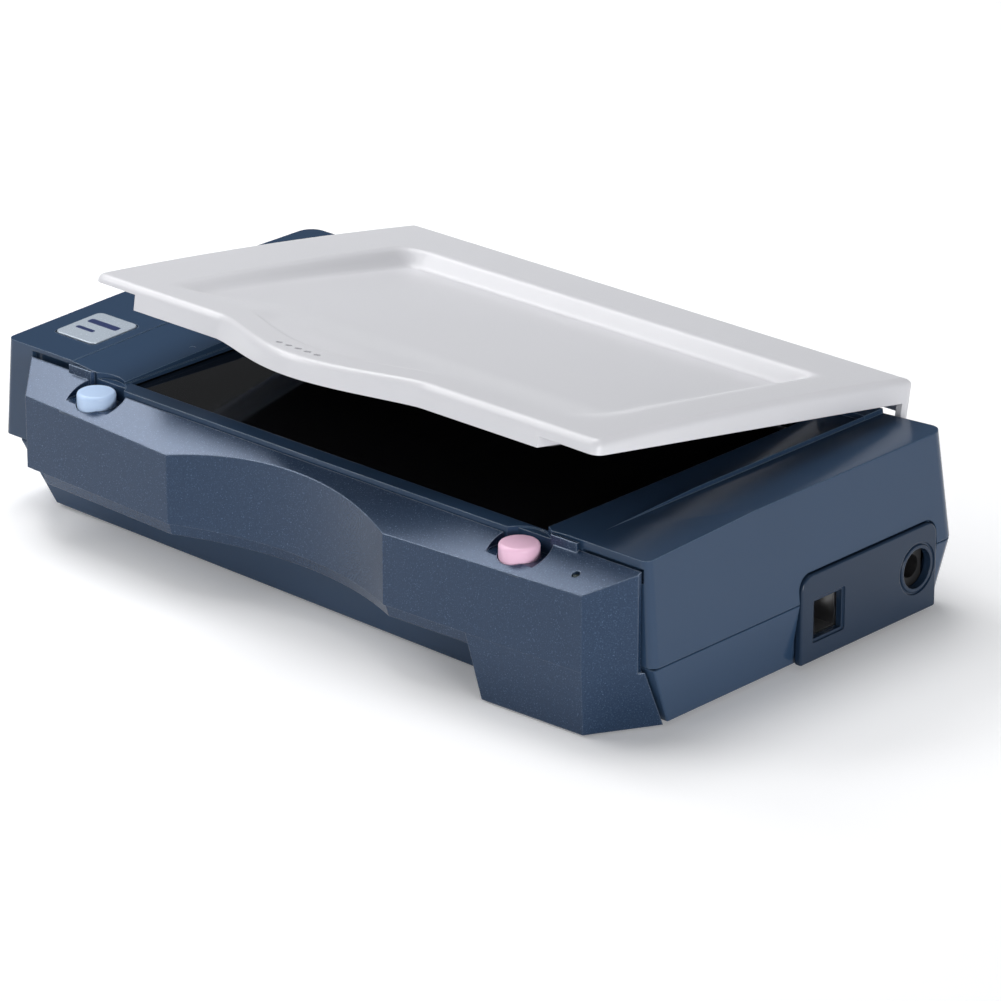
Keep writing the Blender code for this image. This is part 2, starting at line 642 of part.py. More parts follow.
def build_button(side, look):
    """A round cap on a flange that keeps it in the panel, over a stem that presses the switch."""
    x = BUTTON_X[side]
    centre = (x, BUTTON_Y)
    button = cylinder(f"{side}_button", BUTTON_RADIUS, (38.4 * MM, BUTTON_TOP_Z), centre, look=look,
                      segments=28)
    flange = cylinder(f"{side}_flange", BUTTON_RADIUS + 1 * MM, (37.6 * MM, 39 * MM), centre)
    flange_sides = box(f"{side}_flange_sides", around(x, 9 * MM), (BUTTON_Y - 4.8 * MM, BUTTON_Y + 4.4 * MM),
                       (30 * MM, 50 * MM))
    boolean(flange, flange_sides, "INTERSECT")
    stem = cylinder(f"{side}_stem", 2 * MM, (36.4 * MM, 38 * MM), centre, segments=16)
    bevel(button, 0.6 * MM, segments=2)
    join(button, flange, stem)


def build_button_board(side, right_end):
    x = BUTTON_X[side]
    board = box(f"{side}_button_board", (x - 10 * MM, right_end), (BUTTON_Y - 5 * MM, BUTTON_Y + 4.6 * MM),
                BOARD_Z, BOARD)
    bevel(board, 0.2 * MM, segments=1)
    switch = box(f"{side}_switch", around(x, 3 * MM), around(BUTTON_Y, 3 * MM),
                 (BOARD_Z[1] + GAP, SWITCH_TOP_Z), BLACK)
    join(switch, cylinder(f"{side}_plunger", 1.7 * MM, (SWITCH_TOP_Z - 1.2 * MM, SWITCH_TOP_Z + 0.8 * MM),
                          (x, BUTTON_Y), segments=16))


def build_buttons():
    build_button("left", LAVENDER)
    build_button("right", PINK)
    build_button_board("left", BUTTON_X["left"] + 10 * MM)
    build_button_board("right", LIGHT_X + 4 * MM)
    led_foot = BOARD_Z[1] + GAP
    led_top = led_foot + 1.1 * MM
    box("status_led", around(LIGHT_X, 1.6 * MM), around(LIGHT_Y, 0.8 * MM), (led_foot, led_top), WHITE)
    cylinder("status_light_pipe", 0.85 * MM, (led_top + GAP, POCKET_Z), (LIGHT_X, LIGHT_Y), look=LIGHT,
             segments=16)


# ---------------------------------------------------------------- window

def glass_size():
    """The glass reaches under the lip all round, least at the front."""
    xs = (WINDOW_X[0] - GLASS_BORDER, WINDOW_X[1] + GLASS_BORDER)
    ys = (WINDOW_Y[0] - GLASS_BORDER + 1.2 * MM, WINDOW_Y[1] + GLASS_BORDER)
    return xs, ys, (GLASS_TOP_Z - GLASS_THICKNESS, GLASS_TOP_Z)


def build_platen():
    xs, ys, zs = glass_size()
    bevel(box("platen_glass", xs, ys, zs, GLASS), 0.2 * MM, segments=1)
    bottom = zs[0]
    box("calibration_strip", (-88 * MM, -80 * MM), (WINDOW_Y[0], WINDOW_Y[1]),
        (bottom + 0.4 * MM, bottom + 1 * MM), WHITE)


# ---------------------------------------------------------------- ports

def port_outline(grow=0.0):
    """Round at its upper corners and nearly square at its lower ones."""
    return rounded_rectangle(
        (PORT_PANEL_Y[0] - grow, PORT_PANEL_Y[1] + grow), (PORT_PANEL_Z[0] - grow, PORT_PANEL_Z[1] + grow),
        4.5 * MM, low_radius=0.8 * MM)


def upright(made, x):
    """Turn a plate drawn in Y and Z so that its thickness runs along X."""
    thickness = made.dimensions.z
    turned = Matrix(((0, 0, 1), (1, 0, 0), (0, 1, 0)))
    for vertex in made.data.vertices:
        vertex.co = turned @ vertex.co
    made.location = (x - thickness / 2, 0, 0)
    return made


def port_cutters(housing):
    """A recess that the port panel stands in, and an opening through the wall behind it."""
    recess = plate(f"{housing}_port_recess", port_outline(GAP * 1.5), (0, 8 * MM))
    opening = box(f"{housing}_port_opening", (SIDE_X - 9 * MM, SIDE_X + 6 * MM),
                  (PORT_PANEL_Y[0] + 2 * MM, PORT_PANEL_Y[1] - 2 * MM),
                  (PORT_PANEL_Z[0] + 4.6 * MM, PORT_PANEL_Z[1] - 1.8 * MM))
    bpy.context.view_layer.update()
    return upright(recess, PORT_BACK_X + 8 * MM), opening


def build_ports():
    panel = plate("port_panel", port_outline(), (0, PORT_THICKNESS), NAVY)
    bpy.context.view_layer.update()
    upright(panel, PORT_FACE_X)
    bevel(panel, 0.5 * MM, segments=2, angle=60)
    outside = (PORT_FACE_X - 8 * MM, PORT_FACE_X + 5 * MM)
    usb_hole = box("usb_hole", outside, USB_Y, USB_Z)
    jack_hole = cylinder("jack_hole", 5.8 * MM, outside, JACK_AXIS, axis="X", segments=32)
    cut(panel, usb_hole, jack_hole)
    usb_y = (USB_Y[0] - 0.2 * MM, USB_Y[1] + 0.2 * MM)
    shell = box("usb_shell", (105 * MM, PORT_BACK_X), usb_y,
                (USB_Z[0] - 0.6 * MM, USB_Z[1]), STEEL)
    cut(shell, box("usb_cavity", (107 * MM, 140 * MM), (usb_y[0] + 0.7 * MM, usb_y[1] - 0.7 * MM),
                   (USB_Z[0] + 0.2 * MM, USB_Z[1] - 0.7 * MM)))
    box("usb_tongue", (107.3 * MM, 117 * MM), around(sum(USB_Y) / 2, 2.8 * MM),
        around(sum(USB_Z) / 2, 1.6 * MM), WHITE)
    jack = box("dc_jack", (109 * MM, PORT_BACK_X), around(JACK_Y, 4.8 * MM),
               (7.4 * MM, JACK_Z + 4.8 * MM), BLACK)
    cut(jack, cylinder("jack_bore", 3.4 * MM, (111 * MM, 140 * MM), JACK_AXIS, axis="X", segments=24))
    cylinder("dc_jack_pin", 1 * MM, (111.3 * MM, 120 * MM), JACK_AXIS, axis="X", look=STEEL, segments=12)


def build_boards():
    board = box("main_board", (82 * MM, 120 * MM), (3 * MM, 59 * MM), (5.2 * MM, 6.8 * MM), BOARD)
    rod_opening = box("rod_seat_opening", (97 * MM, 105 * MM), around(ROD_Y, 6 * MM), (0, 20 * MM))
    boss_opening = cylinder("boss_opening", BOSS_RADIUS + 0.6 * MM, (0, 20 * MM), screw_places()[3],
                            segments=20)
    cut(board, rod_opening, boss_opening)
    box("scan_processor", (85 * MM, 95 * MM), (34 * MM, 44 * MM), (7.1 * MM, 8.5 * MM), BLACK)
    box("flex_connector", (84 * MM, 88 * MM), (12 * MM, 28 * MM), (7.1 * MM, 9.4 * MM), WHITE)


# ---------------------------------------------------------------- drive and carriage

def toothed_wheel(name, radius, teeth, depth, zs, centre, look):
    """A wheel with square-cut teeth, drawn about its own axis."""
    outline = []
    for tooth in range(teeth):
        for share, reach in ((0.0, 0.0), (0.25, 0.0), (0.35, -depth), (0.9, -depth)):
            angle = 2 * math.pi * (tooth + share) / teeth
            outline.append(((radius + reach) * math.cos(angle), (radius + reach) * math.sin(angle)))
    wheel = plate(name, outline, zs, look)
    wheel.location.x = centre[0]
    wheel.location.y = centre[1]
    return wheel


def belt_outline(radius):
    right = arc(IDLER_AXIS, radius, -90, 90, 12)
    left = arc(GEAR_AXIS, radius, 90, 270, 12)
    return right + left


def build_drive():
    motor = cylinder("drive_motor", 12.4 * MM, (SEAT_Z["motor"] + GAP, 16.4 * MM), MOTOR_AXIS, look=STEEL,
                     segments=32)
    join(motor, cylinder("motor_shaft", 1 * MM, (15 * MM, 21.4 * MM), MOTOR_AXIS, segments=12))
    pinion = toothed_wheel("motor_pinion", PINION_RADIUS, 10, 0.7 * MM, (17.6 * MM, 21 * MM),
                           MOTOR_AXIS, BRASS)
    cut(pinion, cylinder("pinion_bore", 1.3 * MM, (10 * MM, 30 * MM), MOTOR_AXIS, segments=12))
    gear = toothed_wheel("drive_gear", GEAR_RADIUS, 30, 0.7 * MM, (18 * MM, 20.6 * MM), GEAR_AXIS, WHITE)
    hub = cylinder("drive_pulley", PULLEY_RADIUS, (20 * MM, PULLEY_Z[1] + 0.8 * MM), GEAR_AXIS)
    join(gear, hub)
    cut(gear, cylinder("gear_bore", 1.8 * MM, (10 * MM, 40 * MM), GEAR_AXIS, segments=16))
    idler = cylinder("idler_pulley", PULLEY_RADIUS, (20 * MM, PULLEY_Z[1] + 0.8 * MM), IDLER_AXIS,
                     look=BRASS, segments=24)
    join(idler, cylinder("idler_flange", PULLEY_RADIUS + 2.4 * MM, (19 * MM, 20.8 * MM), IDLER_AXIS,
                         segments=24))
    cut(idler, cylinder("idler_bore", 1.8 * MM, (10 * MM, 40 * MM), IDLER_AXIS, segments=16))
    for name, x in (("gear_axle", DRIVE_X), ("idler_axle", IDLER_X)):
        foot_z = SEAT_Z["axle"] + GAP
        axle = cylinder(name, 1.5 * MM, (foot_z, 27.6 * MM), (x, DRIVE_Y), look=STEEL, segments=16)
        join(axle, cylinder(name + "_collar", 3.4 * MM, (foot_z, 17.6 * MM), (x, DRIVE_Y), segments=16))
    inner = PULLEY_RADIUS + GAP
    belt = plate("timing_belt", belt_outline(inner + BELT_THICKNESS), PULLEY_Z, RUBBER)
    cut(belt, plate("belt_inside", belt_outline(inner), (PULLEY_Z[0] - 1 * MM, PULLEY_Z[1] + 1 * MM)))
    cylinder("guide_rod", ROD_RADIUS, (-117 * MM, 103.8 * MM), ROD_AXIS, axis="X", look=STEEL, segments=20)
    for side, xs in HOLDER_X.items():
        holder = box(f"rod_holder_{side}", xs, around(ROD_Y, 5 * MM), (SEAT_Z["rod"] + GAP, 26 * MM), BLACK)
        cut(holder, cylinder(f"rod_holder_bore_{side}", ROD_RADIUS + GAP, (-FAR, FAR), ROD_AXIS, axis="X",
                             segments=20))


def build_carriage():
    """A tray that runs on the rod and is clipped to the belt, carrying a sprung sensor bar."""
    bottom = CARRIAGE_Z[0]
    rim = 2 * MM
    frame = box("carriage_frame", CARRIAGE_X, CARRIAGE_Y, CARRIAGE_Z, BLACK)
    cut(frame, box("carriage_tray", (CARRIAGE_X[0] + rim, CARRIAGE_X[1] - rim),
                   (CARRIAGE_Y[0] + rim, CARRIAGE_Y[1] - rim), (bottom + rim, 50 * MM)))
    middle_x = sum(CARRIAGE_X) / 2
    bearing = box("rod_bearing", around(middle_x, 8 * MM), around(ROD_Y, 5 * MM),
                  (ROD_Z - 5 * MM, bottom + 1 * MM))
    bearing_bore = cylinder("bearing_bore", ROD_RADIUS + GAP, (-FAR, FAR), ROD_AXIS, axis="X", segments=20)
    belt_run = DRIVE_Y + PULLEY_RADIUS + GAP
    clip = box("belt_clip", around(middle_x, 4 * MM), (belt_run - 2 * MM, belt_run + 3.3 * MM),
               (21 * MM, bottom + 1 * MM))
    clip_slot = box("belt_clip_slot", around(middle_x, 9 * MM),
                    (belt_run - GAP, belt_run + BELT_THICKNESS + GAP), (18 * MM, PULLEY_Z[1] + GAP))
    join(frame, bearing, clip)
    cut(frame, bearing_bore, clip_slot)
    bar = box("sensor_bar", around(middle_x, 10 * MM), (CARRIAGE_Y[0] + 3 * MM, CARRIAGE_Y[1] - 3 * MM),
              SENSOR_Z, BLACK)
    slot_floor = 40 * MM
    cut(bar, box("sensor_slot", around(middle_x, 2.2 * MM), (CARRIAGE_Y[0] + 5 * MM, CARRIAGE_Y[1] - 5 * MM),
                 (slot_floor, 50 * MM)))
    box("lens_array", around(middle_x, 1.6 * MM), (CARRIAGE_Y[0] + 5.6 * MM, CARRIAGE_Y[1] - 5.6 * MM),
        (slot_floor + GAP, 42 * MM), LIGHT)
    for side, y in (("front", CARRIAGE_Y[0] + 14 * MM), ("rear", CARRIAGE_Y[1] - 14 * MM)):
        sensor_spring(f"sensor_spring_{side}", middle_x, y, bottom + rim + GAP, SENSOR_Z[0] - GAP)
        box(f"glass_slider_{side}", around(middle_x, 8 * MM), around(y, 3 * MM),
            (SENSOR_Z[1] + GAP, SENSOR_Z[1] + GAP + 0.8 * MM), WHITE)


def sensor_spring(name, x, y, z0, z1):
    """A coil that pushes the sensor bar up against the glass."""
    turns = 3
    steps_per_turn = 10
    wire = 0.35 * MM
    radius = 2.4 * MM
    curve = bpy.data.curves.new(name, "CURVE")
    curve.dimensions = "3D"
    curve.bevel_depth = wire
    curve.bevel_resolution = 1
    curve.use_fill_caps = True
    spline = curve.splines.new("POLY")
    count = turns * steps_per_turn
    spline.points.add(count)
    for step, point in enumerate(spline.points):
        angle = 2 * math.pi * step / steps_per_turn
        height = z0 + wire + (z1 - z0 - 2 * wire) * step / count
        point.co = (radius * math.cos(angle), radius * math.sin(angle), height - z0, 1.0)
    made = bpy.data.objects.new(name, curve)
    made.location = (x, y, z0)
    curve.materials.append(material(STEEL))
    PARTS.objects.link(made)


# ---------------------------------------------------------------- lid and hinges

def lid_top(reach):
    """Height of the lid's crowned top above the hinge axis, at a distance from that axis."""
    return LID_TOP - (reach - 3 * MM) ** 2 / (2 * LID_CROWN_RADIUS)


def lid_outline():
    """Plan of the closed lid about its hinge axis, with the grip tab at the middle of its front."""
    left, right = LID_X
    front, rear = LID_FRONT, LID_REAR + 2 * MM
    tab = []
    steps = 16
    for step in range(steps + 1):
        share = step / steps
        x = TAB_CENTRE_X + TAB_HALF_WIDTH * (2 * share - 1)
        tab.append((x, front - TAB_REACH * math.sin(math.pi * share) ** 1.3))
    return (arc((left + 3 * MM, front + 3 * MM), 3 * MM, 180, 270, 3) + tab
            + arc((right - 3 * MM, front + 3 * MM), 3 * MM, 270, 360, 3)
            + arc((right - 5 * MM, rear - 5 * MM), 5 * MM, 0, 90, 3)
            + arc((left + 5 * MM, rear - 5 * MM), 5 * MM, 90, 180, 3))


def lid_section():
    """Side view of the lid, as (distance from the hinge, height): a straight edge under a crown."""
    reach = LID_FRONT - TAB_REACH - 5 * MM
    steps = 10
    crown_start = LID_REAR - LID_REAR_RADIUS
    round_edge = arc((crown_start, lid_top(crown_start) - LID_REAR_RADIUS), LID_REAR_RADIUS, 0, 80, 5)
    crown = []
    for step in range(steps + 1):
        place_y = crown_start + (reach - crown_start) * step / steps
        crown.append((place_y, lid_top(place_y)))
    slope = (LID_EDGE_REAR - LID_EDGE_FRONT) / -LID_FRONT
    lower = [(reach, LID_EDGE_FRONT + slope * (reach - LID_FRONT)), (LID_REAR, LID_EDGE_REAR)]
    return lower + round_edge + crown


def section_prism(name, section, xs, look=None):
    """A side view drawn in Y and Z, made as wide as xs says."""
    prism = plate(name, section, (0, xs[1] - xs[0]), look)
    bpy.context.view_layer.update()
    return upright(prism, xs[1])


def hang_on_lid(made, pivot):
    made.parent = pivot


def build_lid(pivot):
    far = (LID_X[0] - 10 * MM, LID_X[1] + 10 * MM)
    lid = section_prism("lid_shell", lid_section(), far, LID_GREY)
    plan = plate("lid_plan", lid_outline(), (-20 * MM, 40 * MM))
    boolean(lid, plan, "INTERSECT")
    bevel(lid, 1.6 * MM, segments=3, angle=50)
    tray_top = lid_top(TRAY_REAR) + 1 * MM
    tray_outline_top = rounded_rectangle(TRAY_X, (TRAY_FRONT, TRAY_REAR), 7 * MM, 4)
    tray_outline_low = rounded_rectangle(
        (TRAY_X[0] + 5.4 * MM, TRAY_X[1] - 11.4 * MM), (TRAY_FRONT + 2 * MM, TRAY_REAR - 6 * MM), 7 * MM, 4)
    tray = loft("tray_cutter", [(tray_outline_low, tray_top - 6 * MM), (tray_outline_top, tray_top)])
    tray.rotation_euler = (math.radians(0.75), 0, 0)
    tray_floor = 2.6 * MM
    under = section_prism("lid_underside", [
        (SKIRT_REAR - LID_WALL, SKIRT_BOTTOM - 5 * MM),
        (LID_FRONT + LID_WALL, SKIRT_BOTTOM - 5 * MM),
        (LID_FRONT + LID_WALL, 5.4 * MM),
        (SKIRT_REAR - LID_WALL, 6.6 * MM),
    ], (SKIRT_X[0] + LID_WALL, SKIRT_X[1] - LID_WALL))
    rear_hollow = section_prism("lid_rear_hollow", [
        (SKIRT_REAR + 2 * MM, 5 * MM),
        (LID_REAR - LID_WALL, 5 * MM),
        (LID_REAR - LID_WALL, 8 * MM),
        (LID_REAR - LID_REAR_RADIUS, 11.6 * MM),
        (SKIRT_REAR + 2 * MM, 12 * MM),
    ], (LID_X[0] + LID_WALL, LID_X[1] - LID_WALL))
    skirt = box("lid_skirt", SKIRT_X, (LID_FRONT, SKIRT_REAR), (SKIRT_BOTTOM, tray_floor + 5 * MM))
    join(lid, skirt)
    cut(lid, tray, under, rear_hollow)
    for side, x in HINGE_X.items():
        knuckle = cylinder(f"{side}_knuckle", KNUCKLE_RADIUS, around(x, KNUCKLE_HALF), (0, 0), axis="X",
                           segments=20)
        web = box(f"{side}_web", around(x, KNUCKLE_HALF), (-2 * MM, 2.4 * MM), (0, 9.5 * MM))
        bore = cylinder(f"{side}_knuckle_bore", PIN_RADIUS + GAP, around(x, 9 * MM), (0, 0), axis="X",
                        segments=16)
        join(lid, web, knuckle)
        cut(lid, bore)
        for part in (knuckle, web, bore):
            hang_on_lid(part, pivot)
    rear_wall = box("lid_rear_wall", (LID_X[0] + 3 * MM, LID_X[1] - 3 * MM),
                    (LID_REAR - 1.8 * MM, LID_REAR - 0.05 * MM), (3.5 * MM, 9 * MM))
    join(lid, rear_wall)
    caps = []
    for index, x in enumerate((LID_X[0] + 0.6 * MM, LID_X[1] - 2.6 * MM)):
        caps.append(box(f"lid_corner_{index}", (x, x + 2 * MM), (-2.9 * MM, LID_REAR - 1 * MM),
                        (0.2 * MM, 9 * MM)))
    join(lid, *caps)
    for part in (lid, plan, tray, under, rear_hollow, skirt, rear_wall, *caps):
        hang_on_lid(part, pivot)
    mat = box("document_mat", (SKIRT_X[0] + LID_WALL + GAP, SKIRT_X[1] - LID_WALL - GAP),
              (WINDOW_Y[0] - HINGE_Y + 1 * MM, SKIRT_REAR - LID_WALL - GAP), (0.7 * MM, 5 * MM), FOAM)
    hang_on_lid(bevel(mat, 0.5 * MM, segments=1), pivot)


def build_hinges():
    for side, x in HINGE_X.items():
        across = around(x, BRACKET_HALF)
        bracket = box(f"{side}_hinge_bracket", across, (REAR_Y - SIDE_DRAFT * 0.36 + GAP, HINGE_Y + 1.4 * MM),
                      (36 * MM, HINGE_Z), NAVY)
        cheek = cylinder(f"{side}_cheek", KNUCKLE_RADIUS, across, HINGE_AXIS, axis="X", segments=20)
        space = box(f"{side}_knuckle_space", around(x, KNUCKLE_HALF + 0.4 * MM),
                    (HINGE_Y - KNUCKLE_RADIUS - 0.4 * MM, HINGE_Y + 9 * MM),
                    (HINGE_Z - 3.6 * MM, HINGE_Z + 9 * MM))
        bore = cylinder(f"{side}_bracket_bore", PIN_RADIUS + GAP, around(x, 9 * MM), HINGE_AXIS, axis="X",
                        segments=16)
        join(bracket, cheek)
        cut(bracket, space, bore)
        cylinder(f"{side}_hinge_pin", PIN_RADIUS, around(x, BRACKET_HALF - 0.2 * MM), HINGE_AXIS, axis="X",
                 look=STEEL, segments=16)


def main():
    clear_scene()
    build_lower_housing()
    build_upper_housing()
    build_front_panel()
    build_name_badge()
    build_feet()
    build_housing_screws()
    build_buttons()
    build_platen()
    build_ports()
    build_boards()
    build_drive()
    build_carriage()
    pivot = bpy.data.objects.new("lid_pivot", None)
    pivot.location = (0, HINGE_Y, HINGE_Z)
    pivot.rotation_euler = (-LID_OPEN_ANGLE, 0, 0)
    PARTS.objects.link(pivot)
    build_lid(pivot)
    build_hinges()


main()
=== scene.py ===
"""Looks of the small flatbed scanner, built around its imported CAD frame.

Metres, +Z up, in the frame's own axes: +X to the right along the front, +Y from front to rear.
The mouldings that show are rebuilt here with their real edge radii and fine detail. Everything
else keeps its CAD mesh and gets a procedural material.
"""

import json
import math

import bmesh
import bpy
from mathutils import Matrix, Vector


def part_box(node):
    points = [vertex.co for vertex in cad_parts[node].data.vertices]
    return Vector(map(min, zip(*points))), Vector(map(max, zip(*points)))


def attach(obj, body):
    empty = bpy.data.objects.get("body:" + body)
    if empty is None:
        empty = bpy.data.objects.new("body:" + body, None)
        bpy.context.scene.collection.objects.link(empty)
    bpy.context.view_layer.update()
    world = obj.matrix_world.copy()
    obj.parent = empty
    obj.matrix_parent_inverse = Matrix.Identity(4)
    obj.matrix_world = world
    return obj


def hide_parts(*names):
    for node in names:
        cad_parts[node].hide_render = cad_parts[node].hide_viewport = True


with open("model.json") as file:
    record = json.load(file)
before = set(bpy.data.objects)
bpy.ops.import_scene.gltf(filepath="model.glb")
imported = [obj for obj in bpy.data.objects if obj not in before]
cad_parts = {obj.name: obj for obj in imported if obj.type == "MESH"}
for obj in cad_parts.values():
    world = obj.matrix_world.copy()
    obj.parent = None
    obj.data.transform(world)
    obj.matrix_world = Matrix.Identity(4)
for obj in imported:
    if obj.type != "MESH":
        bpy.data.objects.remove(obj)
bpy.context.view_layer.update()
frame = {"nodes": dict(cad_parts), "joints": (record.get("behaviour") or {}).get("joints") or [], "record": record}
NODES = frame["nodes"]
JOINTS = {joint["name"]: joint for joint in frame["joints"]}
MM = 0.001
GAP = 0.3 * MM

# Sizes of the mouldings, from the frame's boxes
CASE_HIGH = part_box("upper_housing")[1]
BASE_LOW, BASE_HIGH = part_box("lower_housing")
PANEL_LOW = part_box("front_panel")[0]
GLASS_LOW, GLASS_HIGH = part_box("platen_glass")
PORT_LOW, PORT_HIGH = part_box("port_panel")
SIDE_X = BASE_HIGH.x
REAR_Y = CASE_HIGH.y
CASE_TOP = CASE_HIGH.z
FRONT_Y = PANEL_LOW.y
HOUSING_FRONT_Y = FRONT_Y + 15.7 * MM
PARTING_Z = BASE_HIGH.z + GAP / 2
BASE_Z = BASE_LOW.z
WALL = 2.2 * MM
SIDE_DRAFT = 2.8 * MM
BASE_INSET = 3.1 * MM
REAR_CORNER = 5 * MM
FRONT_CORNER = 2.5 * MM

# How far cutting blocks reach: past a face, past the case's ends, above, below, and sideways or up
PAST = 5 * MM
FAR = SIDE_X * 1.2
ABOVE = 60 * MM
BELOW = -1 * MM
BLOCK_REACH = 20 * MM
OVERLAP = 0.5 * MM

GLASS_BORDER = 3.3 * MM
WINDOW_X = (GLASS_LOW.x + GLASS_BORDER, GLASS_HIGH.x - GLASS_BORDER)
WINDOW_Y = (GLASS_LOW.y + GLASS_BORDER - 1.2 * MM, GLASS_HIGH.y - GLASS_BORDER)
BAY_X = (WINDOW_X[0] - 0.5 * MM, WINDOW_X[1] + 1 * MM)
BAY_Z = GLASS_HIGH.z + 1.4 * MM
BAY_REAR_Y = WINDOW_Y[1] + 1 * MM
LEDGE_FRONT_Y = HOUSING_FRONT_Y - 2.5 * MM
CEILING = BAY_Z - 1.1 * MM
LEFT_CREASE_X = -95 * MM
RIGHT_CREASE_X = 100 * MM
SLOPE_END_Y = -12 * MM
TOP_FRONT_Z = CASE_TOP - 1.7 * MM
LEFT_MARGIN_STEP = 0.25 * MM
LEFT_MARGIN_DROP = 1.5 * MM
RIGHT_MARGIN_DROP = 0.8 * MM
CREASE_DROP = 1.4 * MM
TOP_EDGE_ROUND = 6 * MM
REAR_EDGE_SHARE = 0.45
FRONT_EDGE_SHARE = 0.12
MOULDED_EDGE = 0.5 * MM
HOLLOW_TRIM = 1 * MM
LEDGE_UNDERSIDE = 43.8 * MM
DIMPLE_PLACE = (-78.2 * MM, -26.4 * MM)
DIMPLE_RADIUS = 0.9 * MM
DIMPLE_FLOOR = 49.4 * MM
BADGE_HALF = (8.2 * MM, 9.1 * MM)
BADGE_CORNER = 2 * MM
BADGE_GAP = 0.4 * MM

# Base: its foot and its rim in plan, the feet's recesses and the screws' bosses
FOOT_LEFT_CORNER = (-108.3 * MM, HOUSING_FRONT_Y + 4.3 * MM)
FOOT_FRONT_Y = HOUSING_FRONT_Y + 0.8 * MM
FOOT_NOTCH_Y = HOUSING_FRONT_Y + 9.4 * MM
RIM_LEFT_CORNER = (-SIDE_X + 7 * MM, HOUSING_FRONT_Y)
RIM_NOTCH_Y = HOUSING_FRONT_Y + 0.2 * MM
FRONT_BEND_X = 62 * MM
FOOT_RECESS_RADIUS = 5.4 * MM
FOOT_RECESS_DEPTH = 0.8 * MM
BOSS_RADIUS = 4 * MM
BOSS_TOP = 18.2 * MM
BOSS_BORE_RADIUS = 1.9 * MM
SCREW_HEAD_RADIUS = 3.4 * MM
SCREW_HEAD_DEPTH = 4.5 * MM
SCREW_COUNT = 4

PANEL_REAR_Y = HOUSING_FRONT_Y - 0.4 * MM
PANEL_CORNER_Y = FRONT_Y + 2.6 * MM
PANEL_FRONT_X = (-101 * MM, 111.2 * MM)
PANEL_REAR_X = (-111.8 * MM, 122 * MM)
PANEL_TOP_FRONT_Z = 40.2 * MM
PANEL_TOP_REAR_Z = 47 * MM
CREASE_Z = 19.5 * MM
LIP_Z = 15.8 * MM
SCOOP_X = (-41 * MM, 42 * MM)
SCOOP_DEPTH = 8.6 * MM
LEG_LEFT_X = 71 * MM
LEG_FOOT_X = (75 * MM, 121.2 * MM)
LEG_FOOT_CORNER_X = 110.2 * MM
LEG_FOOT_REAR_Y = -49.2 * MM
LEG_BOTTOM = 0.6 * MM
UNDERCUT_TOP = {"left": TOP_FRONT_Z - 1.2 * MM, "right": TOP_FRONT_Z - 2.3 * MM}
UNDERCUT_X = {
    "left": (PANEL_REAR_X[0], LEFT_CREASE_X - 0.2 * MM),
    "right": (99.6 * MM, PANEL_REAR_X[1] - 1 * MM),
}
REVEAL_X = (120.8 * MM, 126 * MM)


def middle(node):
    low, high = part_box(node)
    return (low + high) / 2


BUTTONS = {side: middle(f"{side}_button") for side in ("left", "right")}
BUTTON_RADIUS = 5.6 * MM
POCKET_RADIUS = 8.4 * MM
POCKET_Z = 43.4 * MM
WELL_RADIUS = 9.2 * MM
WELL_Z = 42.6 * MM
WELL_WALL = 1.4 * MM
HAIR = 0.01 * MM
RIB_X = {"left": (LEFT_CREASE_X, -79 * MM), "right": (BAY_X[1] + 0.6 * MM, 99 * MM)}
RIB_TOP = 49.15 * MM
RIB_BOTTOM = 44 * MM
LIGHT = middle("status_light_pipe")
LIGHT_HOLE_RADIUS = 1.15 * MM

PORT_CORNER = 4.5 * MM
PORT_LOW_CORNER = 0.8 * MM
SOCKET_STEP = 0.9 * MM
SOCKET_CORNER = 0.8 * MM
JACK_GROOVE_RADIUS = 7.6 * MM
JACK_RING_RADIUS = 6.9 * MM
JACK_HOLE_RADIUS = 5.8 * MM


# ---------------- materials

def new_material(name, colour, roughness, metallic=0.0):
    made = bpy.data.materials.new(name)
    made.use_nodes = True
    shader = made.node_tree.nodes["Principled BSDF"]
    shader.inputs["Base Color"].default_value = (*colour, 1.0)
    shader.inputs["Roughness"].default_value = roughness
    shader.inputs["Metallic"].default_value = metallic
    return made, shader


def wire(made, source, target):
    made.node_tree.links.new(source, target)


def noise(made, scale, detail=2.0, roughness=0.5, stretch=(1, 1, 1)):
    place = made.node_tree.nodes.new("ShaderNodeTexCoord")
    mapping = made.node_tree.nodes.new("ShaderNodeMapping")
    mapping.inputs["Scale"].default_value = stretch
    node = made.node_tree.nodes.new("ShaderNodeTexNoise")
    node.inputs["Scale"].default_value = scale
    node.inputs["Detail"].default_value = detail
    node.inputs["Roughness"].default_value = roughness
    wire(made, place.outputs["Object"], mapping.inputs["Vector"])
    wire(made, mapping.outputs["Vector"], node.inputs["Vector"])
    return node.outputs["Fac"]


def spread(made, value, low, high, start=0.3, end=0.7):
    """Stretch a 0..1 pattern so that it runs from low to high."""
    node = made.node_tree.nodes.new("ShaderNodeMapRange")
    node.inputs["From Min"].default_value = start
    node.inputs["From Max"].default_value = end
    node.inputs["To Min"].default_value = low
    node.inputs["To Max"].default_value = high
    wire(made, value, node.inputs["Value"])
    return node.outputs["Result"]


def colour_between(made, value, first, second):
    node = made.node_tree.nodes.new("ShaderNodeMix")
    node.data_type = "RGBA"
    inputs = [socket for socket in node.inputs if socket.type == "RGBA"]
    inputs[0].default_value = (*first, 1.0)
    inputs[1].default_value = (*second, 1.0)
    wire(made, value, node.inputs["Factor"])
    return [socket for socket in node.outputs if socket.type == "RGBA"][0]


